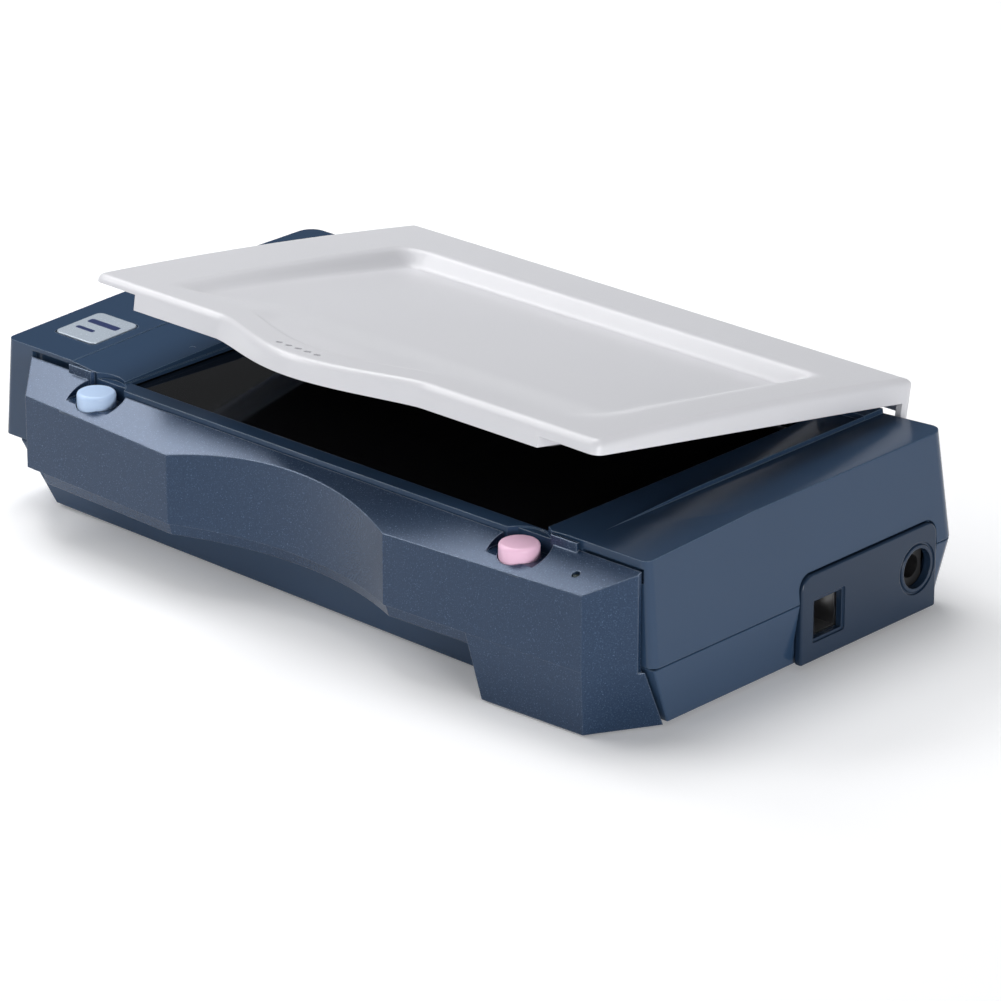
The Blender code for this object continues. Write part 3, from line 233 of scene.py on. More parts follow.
def bumps(made, shader, layers, edge_radius=0.0):
    """Stack bump layers, each (pattern, height in metres, strength), over softly rounded edges."""
    normal = rounded_normal(made, edge_radius) if edge_radius else None
    for pattern, distance, strength in layers:
        node = made.node_tree.nodes.new("ShaderNodeBump")
        node.inputs["Distance"].default_value = distance
        node.inputs["Strength"].default_value = strength
        wire(made, pattern, node.inputs["Height"])
        if normal is not None:
            wire(made, normal, node.inputs["Normal"])
        normal = node.outputs["Normal"]
    wire(made, normal, shader.inputs["Normal"])


def rounded_normal(made, radius):
    edges = made.node_tree.nodes.new("ShaderNodeBevel")
    edges.samples = 6
    edges.inputs["Radius"].default_value = radius
    return edges.outputs["Normal"]


def vector_math(made, operation, *vectors):
    node = made.node_tree.nodes.new("ShaderNodeVectorMath")
    node.operation = operation
    for source, socket in zip(vectors, node.inputs):
        wire(made, source, socket)
    return node


def edge_highlight_share(made, radius):
    """Share of painted highlight: 0 on flat stretches, 1 along the rounded edges, most of all on those that face
    up.
    """
    rounded = rounded_normal(made, radius)
    flat = made.node_tree.nodes.new("ShaderNodeNewGeometry").outputs["Normal"]
    turned_by = vector_math(made, "DOT_PRODUCT", rounded, flat).outputs["Value"]
    split = made.node_tree.nodes.new("ShaderNodeSeparateXYZ")
    wire(made, rounded, split.inputs["Vector"])
    edge = spread(made, turned_by, 0.0, 1.0, 0.985, 0.87)
    facing_up = spread(made, split.outputs["Z"], 0.25, 1.0, 0.1, 0.9)
    product = made.node_tree.nodes.new("ShaderNodeMath")
    product.operation = "MULTIPLY"
    wire(made, edge, product.inputs[0])
    wire(made, facing_up, product.inputs[1])
    return product.outputs["Value"]


def mixed_to(made, value, first_output, second):
    """Run from a wired colour to a plain one as the value goes from 0 to 1."""
    mixed = colour_between(made, value, (0, 0, 0), second)
    wire(made, first_output, [socket for socket in mixed.node.inputs if socket.type == "RGBA"][0])
    return mixed


def times(colour, share):
    return tuple(min(channel * share, 1.0) for channel in colour)


def moulded(name, colour, roughness, grain=0.02 * MM, grain_scale=2400.0, metallic=0.0, mottle=0.06,
            gloss=0.5, edge_radius=0.0, edge_highlight_colour=None):
    """Spark-textured moulded plastic: a fine grain, a slow mottle and slightly uneven gloss, with a painted
    highlight along up-facing edges when an edge colour is given.
    """
    made, shader = new_material(name, colour, roughness, metallic)
    shader.inputs["Specular IOR Level"].default_value = gloss
    slow = spread(made, noise(made, 22.0, 1.0), 0.0, 1.0, 0.1, 0.9)
    body = colour_between(made, slow, times(colour, 1 - mottle), times(colour, 1 + mottle))
    # Blend towards the edge colour along the rounded edges: a painted highlight, strongest where the edges face
    # up.
    if edge_highlight_colour:
        body = mixed_to(made, edge_highlight_share(made, edge_radius), body, edge_highlight_colour)
    wire(made, body, shader.inputs["Base Color"])
    grains = noise(made, grain_scale, 2.0, 0.6)
    wire(made, spread(made, grains, roughness - 0.03, roughness + 0.03), shader.inputs["Roughness"])
    bumps(made, shader, [(grains, grain, 0.5)], edge_radius)
    return made


def flaked(name, colour, fleck, roughness, edge_radius, edge_highlight_colour):
    """Painted-look plastic with fine bright flecks over a dark body colour, and a painted highlight along
    up-facing edges.
    """
    made, shader = new_material(name, colour, roughness, 0.35)
    grains = noise(made, 2600.0, 2.0, 0.7)
    body = colour_between(made, spread(made, grains, 0.0, 1.0, 0.5, 0.8), colour, fleck)
    # Blend towards the edge colour along the rounded edges: a painted highlight, strongest where the edges face
    # up.
    wire(made, mixed_to(made, edge_highlight_share(made, edge_radius), body, edge_highlight_colour), shader.inputs["Base Color"])
    wire(made, spread(made, grains, roughness - 0.03, roughness + 0.03), shader.inputs["Roughness"])
    bumps(made, shader, [(noise(made, 2300.0, 2.0, 0.65), 0.02 * MM, 0.6)], edge_radius)
    return made


def metal(name, colour, roughness, stretch=(1, 1, 1)):
    made, shader = new_material(name, colour, roughness, 1.0)
    wire(made, spread(made, noise(made, 900.0, 3.0, 0.6, stretch), roughness - 0.08, roughness + 0.1),
         shader.inputs["Roughness"])
    bumps(made, shader, [(noise(made, 1400.0, 2.0, 0.5, stretch), 0.01 * MM, 0.35)])
    return made


def glass_with_painted_shade():
    """Glass over an unlit inside, drawn opaque and nearly black as painted shade of that inside: glossy, with the
    faintest smears.
    """
    made, shader = new_material("glass_painted_shade", (0.004, 0.004, 0.005), 0.04)
    wire(made, spread(made, noise(made, 35.0, 4.0, 0.6), 0.03, 0.09), shader.inputs["Roughness"])
    bumps(made, shader, [(noise(made, 12.0, 1.0), 0.02 * MM, 0.05)])
    return made


def foam():
    made, shader = new_material("dark_foam", (0.012, 0.012, 0.013), 0.85)
    cells = noise(made, 900.0, 3.0, 0.7)
    shade = colour_between(made, spread(made, cells, 0.0, 1.0), (0.006, 0.006, 0.007), (0.02, 0.02, 0.022))
    wire(made, shade, shader.inputs["Base Color"])
    bumps(made, shader, [(cells, 0.15 * MM, 0.6)])
    return made


def circuit_board():
    made, shader = new_material("solder_mask", (0.012, 0.11, 0.045), 0.35)
    tracks = noise(made, 260.0, 0.0, 0.5, (1, 6, 1))
    wire(made, colour_between(made, spread(made, tracks, 0.0, 1.0, 0.48, 0.52), (0.01, 0.09, 0.035),
                              (0.025, 0.16, 0.07)), shader.inputs["Base Color"])
    bumps(made, shader, [(tracks, 0.04 * MM, 0.4)])
    return made


def pipe_plastic_painted_shade():
    # Dim grey-green clear plastic: its darkness is painted shade at the bottom of the light hole.
    made, shader = new_material("clear_plastic_painted_shade", (0.16, 0.19, 0.18), 0.12)
    shader.inputs["Transmission Weight"].default_value = 0.5
    wire(made, spread(made, noise(made, 300.0, 2.0), 0.08, 0.2), shader.inputs["Roughness"])
    return made


LOOKS = {
    # The edge colours of the navy and panel mouldings are painted highlights along their rounded edges.
    "navy_plastic": moulded("navy_moulding", (0.028, 0.057, 0.110), 0.17, gloss=0.3, edge_radius=0.4 * MM,
                            edge_highlight_colour=(0.17, 0.25, 0.36)),
    "panel_plastic": flaked("panel_moulding", (0.014, 0.036, 0.080), (0.05, 0.095, 0.17), 0.25, 0.5 * MM,
                            (0.34, 0.42, 0.54)),
    "lid_plastic": moulded("lid_moulding", (0.70, 0.70, 0.73), 0.32, mottle=0.015, grain=0.01 * MM,
                           edge_radius=0.3 * MM),
    "lavender_plastic": moulded("lavender_cap", (0.54, 0.70, 0.95), 0.34, mottle=0.03),
    "pink_plastic": moulded("pink_cap", (0.97, 0.62, 0.80), 0.34, mottle=0.03),
    "badge_silver": moulded("badge_film", (0.50, 0.57, 0.65), 0.25, metallic=0.2, mottle=0.05),
    # Opaque near-black glass: painted shade of the unlit inside.
    "platen_glass": glass_with_painted_shade(),
    "black_plastic": moulded("black_moulding", (0.012, 0.012, 0.013), 0.5),
    "white_plastic": moulded("white_moulding", (0.75, 0.75, 0.72), 0.5, mottle=0.03),
    "mat_foam": foam(),
    "rubber": moulded("foot_rubber", (0.014, 0.014, 0.014), 0.8, grain=0.05 * MM, grain_scale=1200.0),
    "brass": metal("turned_brass", (0.62, 0.45, 0.18), 0.3),
    "steel": metal("bright_steel", (0.58, 0.58, 0.6), 0.28, (1, 8, 8)),
    "circuit_board": circuit_board(),
    "light_pipe": pipe_plastic_painted_shade(),
}
BLACK_MARK = moulded("mark_ink", (0.02, 0.035, 0.12), 0.3, mottle=0.05)
PORT_SHADE = moulded("port_moulding", (0.014, 0.030, 0.060), 0.2, gloss=0.3, edge_radius=0.4 * MM)
# Steel at about half the brightness of bright_steel: painted shade inside the USB socket.
SHADED_SOCKET_STEEL = metal("socket_steel_painted_shade", (0.30, 0.30, 0.31), 0.35)


def dress_cad_nodes():
    slots = {entry["node"]: entry["material_slot"] for entry in frame["record"]["subparts"]}
    for name, node in NODES.items():
        node.data.materials.clear()
        node.data.materials.append(LOOKS[slots[name]])
        node.data.shade_smooth()
        node.data.set_sharp_from_angle(angle=math.radians(32))
    # The USB shell takes the darkened steel, painted shade of the socket's inside.
    NODES["usb_shell"].data.materials[0] = SHADED_SOCKET_STEEL


# ---------------- modelling helpers

CUTTERS = []


def place(name, mesh, location=(0, 0, 0), look=None):
    made = bpy.data.objects.new(name, mesh)
    made.location = location
    bpy.context.scene.collection.objects.link(made)
    if look is None:
        CUTTERS.append(made)
        return made
    mesh.materials.append(look)
    return made


def mesh_from(name, shape):
    bmesh.ops.recalc_face_normals(shape, faces=shape.faces)
    mesh = bpy.data.meshes.new(name)
    shape.to_mesh(mesh)
    shape.free()
    return mesh


def box(name, xs, ys, zs, look=None):
    size = Vector((xs[1] - xs[0], ys[1] - ys[0], zs[1] - zs[0]))
    centre = Vector((xs[0] + xs[1], ys[0] + ys[1], zs[0] + zs[1])) / 2
    shape = bmesh.new()
    bmesh.ops.create_cube(shape, size=1.0, matrix=Matrix.Diagonal((*size, 1.0)))
    return place(name, mesh_from(name, shape), centre, look)


def slanted_block(name, pivot, xs, ys, zs, rotation):
    """A box with its sizes measured from a pivot, turned about that pivot."""
    block = box(name, xs, ys, zs)
    for vertex in block.data.vertices:
        vertex.co += block.location
    block.location = pivot
    block.rotation_euler = rotation
    return block


def turned(name, profile, centre, axis="Z", look=None, segments=64):
    """A body turned from (radius, height) points; it closes on its own axis at both ends."""
    turns = {"X": Matrix.Rotation(math.pi / 2, 4, "Y"), "Z": Matrix()}
    shape = bmesh.new()
    rings = []
    for radius, height in profile:
        ring = []
        for step in range(segments):
            angle = 2 * math.pi * step / segments
            ring.append(shape.verts.new((radius * math.cos(angle), radius * math.sin(angle), height)))
        rings.append(ring)
    for lower, upper in zip(rings, rings[1:]):
        for step in range(segments):
            after = (step + 1) % segments
            shape.faces.new((lower[step], lower[after], upper[after], upper[step]))
    shape.faces.new(rings[0])
    shape.faces.new(rings[-1])
    shape.transform(turns[axis])
    return place(name, mesh_from(name, shape), centre, look)


def cylinder(name, radius, ends, centre, axis="Z", look=None, segments=64):
    """A round bar; ends are its two positions along the axis, centre its other two coordinates."""
    half = (ends[1] - ends[0]) / 2
    along = (ends[0] + ends[1]) / 2
    location = (along, *centre) if axis == "X" else (*centre, along)
    return turned(name, [(radius, -half), (radius, half)], location, axis, look, segments)


def loft(name, sections, look=None):
    """A closed body through outlines of equal point count, given as (outline, z), lowest first."""
    shape = bmesh.new()
    rings = [[shape.verts.new((x, y, z)) for x, y in outline] for outline, z in sections]
    for lower, upper in zip(rings, rings[1:]):
        for index in range(len(lower)):
            after = (index + 1) % len(lower)
            shape.faces.new((lower[index], lower[after], upper[after], upper[index]))
    shape.faces.new(list(reversed(rings[0])))
    shape.faces.new(rings[-1])
    return place(name, mesh_from(name, shape), (0, 0, 0), look)


def side_plate(name, outline, xs, look=None):
    """An outline drawn in Y and Z, with its thickness along X."""
    shape = bmesh.new()
    rings = [[shape.verts.new((x, y, z)) for y, z in outline] for x in xs]
    for index in range(len(outline)):
        after = (index + 1) % len(outline)
        shape.faces.new((rings[0][index], rings[0][after], rings[1][after], rings[1][index]))
    shape.faces.new(list(reversed(rings[0])))
    shape.faces.new(rings[1])
    return place(name, mesh_from(name, shape), (0, 0, 0), look)


def boolean(target, other, operation):
    step = target.modifiers.new(operation.lower(), "BOOLEAN")
    step.operation = operation
    step.solver = "EXACT"
    step.object = other


def cut(target, *cutters):
    for cutter in cutters:
        boolean(target, cutter, "DIFFERENCE")


def join(target, *additions):
    for addition in additions:
        boolean(target, addition, "UNION")


def bevel(target, width, angle, segments=3):
    step = target.modifiers.new("bevel", "BEVEL")
    step.width = width
    step.segments = segments
    step.limit_method = "ANGLE"
    step.angle_limit = math.radians(angle)


def bevel_edges(target, width, weight_of, segments=6):
    """Round only some edges: weight_of gives an edge's share of the width from its two ends."""
    mesh = target.data
    weights = mesh.attributes.new("bevel_weight_edge", "FLOAT", "EDGE")
    for edge in mesh.edges:
        first, second = (mesh.vertices[index].co for index in edge.vertices)
        weights.data[edge.index].value = weight_of(first, second)
    step = target.modifiers.new("bevel", "BEVEL")
    step.width = width
    step.segments = segments
    step.limit_method = "WEIGHT"


def apply_modifiers(target):
    bpy.context.view_layer.update()
    graph = bpy.context.evaluated_depsgraph_get()
    target.data = bpy.data.meshes.new_from_object(target.evaluated_get(graph))
    target.modifiers.clear()


def settle(target, body, *replaced, angle=35, flat_faces=True):
    """Apply the modifiers, shade by angle, and hang the piece on its body."""
    apply_modifiers(target)
    target.data.shade_smooth()
    target.data.set_sharp_from_angle(angle=math.radians(angle))
    if flat_faces:
        weighting = target.modifiers.new("weighting", "WEIGHTED_NORMAL")
        weighting.keep_sharp = True
        apply_modifiers(target)
    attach(target, body)
    if replaced:
        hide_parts(*replaced)


def arc(centre, radius, start, end, steps):
    """Points of a circular arc, with the angles in degrees."""
    angles = [math.radians(start + (end - start) * step / steps) for step in range(steps + 1)]
    return [(centre[0] + radius * math.cos(a), centre[1] + radius * math.sin(a)) for a in angles]


def rounded_rectangle(xs, ys, radius, steps=8, low_radius=None):
    """An anticlockwise outline; the two corners at low y may have a radius of their own."""
    low = low_radius or radius
    corners = (
        ((xs[1] - low, ys[0] + low), low, -90),
        ((xs[1] - radius, ys[1] - radius), radius, 0),
        ((xs[0] + radius, ys[1] - radius), radius, 90),
        ((xs[0] + low, ys[0] + low), low, 180),
    )
    return [point for centre, size, start in corners for point in arc(centre, size, start, start + 90, steps)]


def inset(outline, distance):
    """The outline moved inwards by the distance, for an outline that runs anticlockwise."""
    least_share = 0.3
    moved = []
    for index, point in enumerate(outline):
        before = Vector(point) - Vector(outline[index - 1])
        after = Vector(outline[(index + 1) % len(outline)]) - Vector(point)
        normals = [Vector((-edge.y, edge.x)).normalized() for edge in (before, after)]
        between = (normals[0] + normals[1]).normalized()
        moved.append(tuple(Vector(point) + between * distance / max(between.dot(normals[0]), least_share)))
    return moved


# ---------------- case

def case_outline(shrink_x, front_y, shrink_rear, trim=0.0):
    """The case in plan: nearly square front corners and rounder rear ones."""
    right, rear = SIDE_X - shrink_x, REAR_Y - shrink_rear
    front_radius = FRONT_CORNER - trim
    rear_radius = REAR_CORNER - trim
    return (arc((right - front_radius, front_y + front_radius), front_radius, -90, 0, 6)
            + arc((right - rear_radius, rear - rear_radius), rear_radius, 0, 90, 8)
            + arc((-right + rear_radius, rear - rear_radius), rear_radius, 90, 180, 8)
            + arc((-right + front_radius, front_y + front_radius), front_radius, 180, 270, 6))


def top_edge_weight(first, second):
    """Soft right-hand edge, less round rear and left ones, and a crisp front one."""
    if min(first.z, second.z) < CASE_TOP - OVERLAP:
        return 0.0
    point = (first + second) / 2
    if point.x > SIDE_X - SIDE_DRAFT - OVERLAP:
        return 1.0
    if point.y < HOUSING_FRONT_Y + OVERLAP:
        return FRONT_EDGE_SHARE
    return REAR_EDGE_SHARE


def front_tilt():
    """How steeply the top slopes down towards the front."""
    return math.atan2(CASE_TOP - TOP_FRONT_Z, SLOPE_END_Y - HOUSING_FRONT_Y)


def top_cutters():
    """Blocks that slope the top: down to the front, and down towards the bay from both ends."""
    run = SLOPE_END_Y - HOUSING_FRONT_Y
    front = slanted_block(
        "front_slope_cutter", (0, SLOPE_END_Y, CASE_TOP), (-FAR, FAR), (-2 * run, 0), (0, BLOCK_REACH),
        (front_tilt(), 0, 0))
    left_run = BAY_X[0] - LEFT_CREASE_X
    left_tilt = math.atan2(LEFT_MARGIN_DROP, left_run)
    left_pivot = (LEFT_CREASE_X, SLOPE_END_Y, CASE_TOP - LEFT_MARGIN_STEP)
    left_front = slanted_block(
        "left_margin_front", left_pivot, (0, left_run + PAST), (-run - PAST, 0), (0, BLOCK_REACH),
        (front_tilt(), left_tilt, 0))
    left_rear = slanted_block(
        "left_margin_rear", left_pivot, (0, left_run + PAST), (-OVERLAP, BAY_REAR_Y - SLOPE_END_Y),
        (0, BLOCK_REACH), (0, left_tilt, 0))
    right_run = RIGHT_CREASE_X - BAY_X[1]
    right = slanted_block(
        "right_margin_cutter", (RIGHT_CREASE_X, 0, CASE_TOP - CREASE_DROP), (-right_run - PAST, 0),
        (HOUSING_FRONT_Y - PAST, BAY_REAR_Y), (0, BLOCK_REACH),
        (0, -math.atan2(RIGHT_MARGIN_DROP, right_run), 0))
    facet_run = SIDE_X - SIDE_DRAFT - RIGHT_CREASE_X
    facet = slanted_block(
        "right_facet_cutter", (SIDE_X - SIDE_DRAFT, 0, CASE_TOP), (-facet_run, PAST),
        (HOUSING_FRONT_Y - PAST, REAR_Y + PAST), (0, BLOCK_REACH),
        (0, -math.atan2(CREASE_DROP, facet_run), 0))
    return front, left_front, left_rear, right, facet


def port_cutters(housing):
    """The seat of the port plate in a housing, and the opening behind it for the sockets."""
    recess = side_plate(f"{housing}_port_recess", port_outline(GAP * 1.5), (PORT_LOW.x - GAP, SIDE_X + PAST))
    opening = box(
        f"{housing}_port_opening", (SIDE_X - 9 * MM, SIDE_X + PAST),
        (PORT_LOW.y + 2 * MM, PORT_HIGH.y - 2 * MM), (PORT_LOW.z + 4.6 * MM, PORT_HIGH.z - 1.8 * MM))
    return recess, opening


def port_outline(grow=0.0):
    return rounded_rectangle((PORT_LOW.y - grow, PORT_HIGH.y + grow), (PORT_LOW.z - grow, PORT_HIGH.z + grow),
                             PORT_CORNER, low_radius=PORT_LOW_CORNER)


def cut_button_pockets(case):
    """Round clearances in the case behind both buttons: deep in the ledge, shallow further back."""
    for side, centre in BUTTONS.items():
        spot = (centre.x, centre.y)
        deep = cylinder(f"{side}_deep_pocket", POCKET_RADIUS, (POCKET_Z, CASE_TOP + PAST), spot)
        cut(deep, box(f"{side}_pocket_end", (centre.x - BLOCK_REACH, centre.x + BLOCK_REACH),
                      (HOUSING_FRONT_Y, 0), (0, CASE_TOP + 2 * PAST)))
        shallow = cylinder(f"{side}_shallow_pocket", POCKET_RADIUS - HAIR,
                           (BAY_Z - 0.45 * MM, CASE_TOP + 2 * PAST), spot)
        cut(case, deep, shallow)


def badge_recess():
    badge = middle("name_badge")
    outline = badge_outline(BADGE_GAP)
    recess = loft("badge_recess", [(outline, -0.6 * MM), (outline, 3 * MM)])
    recess.location = badge
    recess.rotation_euler = (front_tilt(), 0, 0)
    return recess


def badge_outline(grow=0.0):
    half_x, half_y = (half + grow for half in BADGE_HALF)
    return rounded_rectangle((-half_x, half_x), (-half_y, half_y), BADGE_CORNER)


def build_case():
    case = loft("case_top", [
        (case_outline(0, HOUSING_FRONT_Y, 0), PARTING_Z + GAP / 2),
        (case_outline(SIDE_DRAFT, HOUSING_FRONT_Y, SIDE_DRAFT), CASE_TOP),
    ], LOOKS["navy_plastic"])
    bevel_edges(case, TOP_EDGE_ROUND, top_edge_weight)
    inner = WALL + SIDE_DRAFT
    hollow = loft("case_hollow", [
        (case_outline(WALL, HOUSING_FRONT_Y + WALL, WALL, HOLLOW_TRIM), PARTING_Z - PAST),
        (case_outline(inner, HOUSING_FRONT_Y + WALL, inner, HOLLOW_TRIM), CEILING),
    ])
    ledge = box("ledge", BAY_X, (LEDGE_FRONT_Y, HOUSING_FRONT_Y + 1 * MM), (LEDGE_UNDERSIDE, BAY_Z + 1 * MM))
    bay = box("bay_cutter", BAY_X, (LEDGE_FRONT_Y - PAST, BAY_REAR_Y), (BAY_Z, CASE_TOP + 2 * PAST))
    window = box("window_cutter", WINDOW_X, WINDOW_Y, (CEILING - PAST, CASE_TOP))
    groove = box(
        "glass_groove", (GLASS_LOW.x - GAP, GLASS_HIGH.x + GAP), (GLASS_LOW.y - GAP, GLASS_HIGH.y + GAP),
        (GLASS_LOW.z - GAP, GLASS_HIGH.z + GAP * 0.7))
    cut(case, *top_cutters())
    bevel(case, MOULDED_EDGE, angle=50)
    cut(case, hollow)
    join(case, ledge)
    cut(case, bay, window, groove)
    cut_button_pockets(case)
    for side, xs in UNDERCUT_X.items():
        cut(case, box(f"{side}_undercut", xs, (HOUSING_FRONT_Y - 1 * MM, HOUSING_FRONT_Y + 1.5 * MM),
                      (POCKET_Z, UNDERCUT_TOP[side])))
    cut(case, cylinder("dimple", DIMPLE_RADIUS, (DIMPLE_FLOOR, CASE_TOP), DIMPLE_PLACE, segments=24))
    cut(case, badge_recess(), *port_cutters("upper"))
    settle(case, "base", "upper_housing")


def base_outline(shrink, left_corner, front_y, notch_y):
    """The base in plan: chamfered at the front left, stepped back at the right behind the panel's leg."""
    right = SIDE_X - shrink
    rear = REAR_Y - shrink
    rear_right = arc((right - REAR_CORNER, rear - REAR_CORNER), REAR_CORNER, 0, 90, 8)
    rear_left = arc((-right + REAR_CORNER, rear - REAR_CORNER), REAR_CORNER, 90, 180, 8)
    chamfer = left_corner[0] + right
    front = [(-right, left_corner[1] + chamfer), left_corner, (FRONT_BEND_X, front_y),
             (LEG_LEFT_X - 1.5 * MM, front_y), (LEG_LEFT_X, notch_y), (right, notch_y)]
    return front + rear_right + rear_left


def build_base():
    foot = base_outline(BASE_INSET, FOOT_LEFT_CORNER, FOOT_FRONT_Y, FOOT_NOTCH_Y)
    rim = base_outline(0, RIM_LEFT_CORNER, HOUSING_FRONT_Y, RIM_NOTCH_Y)
    top_z = PARTING_Z - GAP / 2
    base = loft("case_base", [(foot, BASE_Z), (rim, top_z)], LOOKS["navy_plastic"])
    bevel(base, MOULDED_EDGE, angle=25)
    hollow = loft("base_hollow", [(inset(foot, WALL), BASE_Z + 2 * MM), (inset(rim, WALL), top_z + OVERLAP)])
    cut(base, hollow)
    cut(base, *port_cutters("lower"))
    for name in ("foot_front_left", "foot_front_right", "foot_rear_left", "foot_rear_right"):
        foot_middle = middle(name)
        cut(base, cylinder(f"{name}_recess", FOOT_RECESS_RADIUS, (BELOW, BASE_Z + FOOT_RECESS_DEPTH),
                           (foot_middle.x, foot_middle.y)))
    for index in range(1, SCREW_COUNT + 1):
        add_boss(base, index)
    settle(base, "base", "lower_housing")


def add_boss(base, index):
    """A post round one housing screw, bored through and opened below for the screw's head."""
    screw = middle(f"housing_screw_{index}")
    spot = (screw.x, screw.y)
    boss = cylinder(f"boss_{index}", BOSS_RADIUS, (BASE_Z + 1 * MM, BOSS_TOP), spot, segments=32)
    bore = cylinder(f"boss_bore_{index}", BOSS_BORE_RADIUS, (BELOW, ABOVE), spot, segments=32)
    head = cylinder(f"boss_head_{index}", SCREW_HEAD_RADIUS, (BELOW, SCREW_HEAD_DEPTH), spot, segments=32)
    join(base, boss)
    cut(base, bore, head)


# ---------------- front panel

def panel_outline(rear_y=PANEL_REAR_Y):
    """Plan of the front panel: two flats bowed forward, with a round scoop between them."""
    half_chord = (SCOOP_X[1] - SCOOP_X[0]) / 2
    radius = (half_chord ** 2 + SCOOP_DEPTH ** 2) / (2 * SCOOP_DEPTH)
    centre = (sum(SCOOP_X) / 2, FRONT_Y + SCOOP_DEPTH - radius)
    half_angle = math.degrees(math.asin(half_chord / radius))
    scoop = arc(centre, radius, 90 + half_angle, 90 - half_angle, 40)
    left = [(PANEL_REAR_X[0], rear_y), (PANEL_FRONT_X[0], PANEL_CORNER_Y)]
    right = [(PANEL_FRONT_X[1], PANEL_CORNER_Y), (PANEL_REAR_X[1], rear_y)]
    return left + scoop + right


def panel_top_cutter(name, drop, back=0.0):
    """A block whose underside is the panel's sloping top, lowered by the drop."""
    slope = math.atan2(PANEL_TOP_REAR_Z - PANEL_TOP_FRONT_Z, PANEL_REAR_Y - FRONT_Y)
    return slanted_block(
        name, (0, FRONT_Y, PANEL_TOP_FRONT_Z - drop), (-FAR, FAR), (-2 * PAST, 8 * PAST + back), (0, ABOVE),
        (slope, 0, 0))


def panel_lip():
    """The lower edge under the crease: it draws in downwards and stops short at the left."""
    lip = loft("panel_lip", [
        (inset(panel_outline(), 1.8 * MM), LIP_Z),
        (inset(panel_outline(), 0.5 * MM), CREASE_Z + 1 * MM),
    ])
    cut(lip, box("lip_end", (-SIDE_X, PANEL_FRONT_X[0] + 6 * MM), (FRONT_Y - 1 * MM, 0), (0, ABOVE)))
    return lip


def panel_leg():
    """The leg at the right, which draws in towards its foot."""
    foot = [(LEG_FOOT_X[0], LEG_FOOT_REAR_Y), (LEG_FOOT_X[0], FRONT_Y + 3.4 * MM),
            (LEG_FOOT_CORNER_X, FRONT_Y + 4.6 * MM), (LEG_FOOT_X[1], LEG_FOOT_REAR_Y)]
    top = [(LEG_LEFT_X, PANEL_REAR_Y), (LEG_LEFT_X, FRONT_Y + 1.2 * MM), (PANEL_FRONT_X[1], PANEL_CORNER_Y),
           (PANEL_REAR_X[1], PANEL_REAR_Y)]
    return loft("panel_leg", [(foot, LEG_BOTTOM), (top, CREASE_Z)])


def panel_hollows():
    """What is taken out behind the panel's front and inside its leg."""
    plan = inset(panel_outline(PANEL_REAR_Y + 8 * MM), WALL)
    hollow = loft("panel_hollow", [(plan, LIP_Z + WALL), (plan, ABOVE)])
    cut(hollow, panel_top_cutter("panel_ceiling", WALL * 1.1, back=2 * PAST))
    leg_hollow = box(
        "leg_hollow", (LEG_LEFT_X + 6 * MM, 107 * MM), (FRONT_Y + 6 * MM, PANEL_REAR_Y - 2.4 * MM),
        (BELOW, LIP_Z + 5 * MM))
    return hollow, leg_hollow


def add_button_well(panel, side):
    """A round well with a bore for the button, and the low rib behind it."""
    centre = BUTTONS[side]
    spot = (centre.x, centre.y)
    well = cylinder(f"{side}_well", WELL_RADIUS + WELL_WALL, (WELL_Z - 2 * MM, WELL_Z + 1.6 * MM), spot)
    cut(well, panel_top_cutter(f"{side}_well_top", GAP),
        box(f"{side}_well_back", (centre.x - BLOCK_REACH, centre.x + BLOCK_REACH), (PANEL_REAR_Y, 0),
            (0, ABOVE)))
    pocket = cylinder(f"{side}_pocket", WELL_RADIUS, (WELL_Z, ABOVE), spot)
    bore = cylinder(f"{side}_bore", BUTTON_RADIUS + GAP, (WELL_Z - 8 * MM, ABOVE), spot)
    rib_y = (PANEL_REAR_Y - 1.1 * MM, PANEL_REAR_Y - 0.05 * MM)
    rib = box(f"{side}_rib", RIB_X[side], rib_y, (RIB_BOTTOM, RIB_TOP))
    cut(rib, cylinder(f"{side}_rib_end", POCKET_RADIUS, (0, ABOVE), spot))
    join(panel, well)
    cut(panel, pocket, bore)
    join(panel, rib)


def build_panel():
    plan = panel_outline()
    panel = loft("front_moulding", [(plan, CREASE_Z), (plan, ABOVE)], LOOKS["panel_plastic"])
    cut(panel, panel_top_cutter("panel_top", 0.0))
    join(panel, panel_lip(), panel_leg())
    bevel(panel, 0.45 * MM, angle=18)
    cut(panel, *panel_hollows())
    reveal = box("reveal_groove", REVEAL_X, (PANEL_REAR_Y - 1.2 * MM, PANEL_REAR_Y + 2 * MM),
                 (CREASE_Z - 1 * MM, ABOVE))
    cut(panel, reveal)
    for side in BUTTONS:
        add_button_well(panel, side)
    ledge_space = box(
        "ledge_space", (BAY_X[0] - GAP, BAY_X[1] + GAP), (LEDGE_FRONT_Y - GAP, 0),
        (LEDGE_UNDERSIDE - GAP, ABOVE))
    spot = (LIGHT.x, LIGHT.y)
    light_hole = cylinder("light_hole", LIGHT_HOLE_RADIUS, (ABOVE / 2, ABOVE), spot, segments=32)
    cut(panel, ledge_space, light_hole)
    settle(panel, "base", "front_panel")


def build_buttons():
    looks = {"left": LOOKS["lavender_plastic"], "right": LOOKS["pink_plastic"]}
    for side, centre in BUTTONS.items():
        low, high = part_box(f"{side}_button")
        edge = 1.1 * MM
        round_edge = arc((BUTTON_RADIUS - edge, high.z - edge), edge, 0, 78, 8)
        profile = ([(2 * MM, low.z), (2 * MM, low.z + 1.2 * MM), (BUTTON_RADIUS, low.z + 1.2 * MM)]
                   + round_edge + [(2.5 * MM, high.z - 0.02 * MM), (0.05 * MM, high.z)])
        cap = turned(f"{side}_button_cap", profile, (centre.x, centre.y, 0), look=looks[side])
        settle(cap, f"{side}_button", f"{side}_button", angle=45)


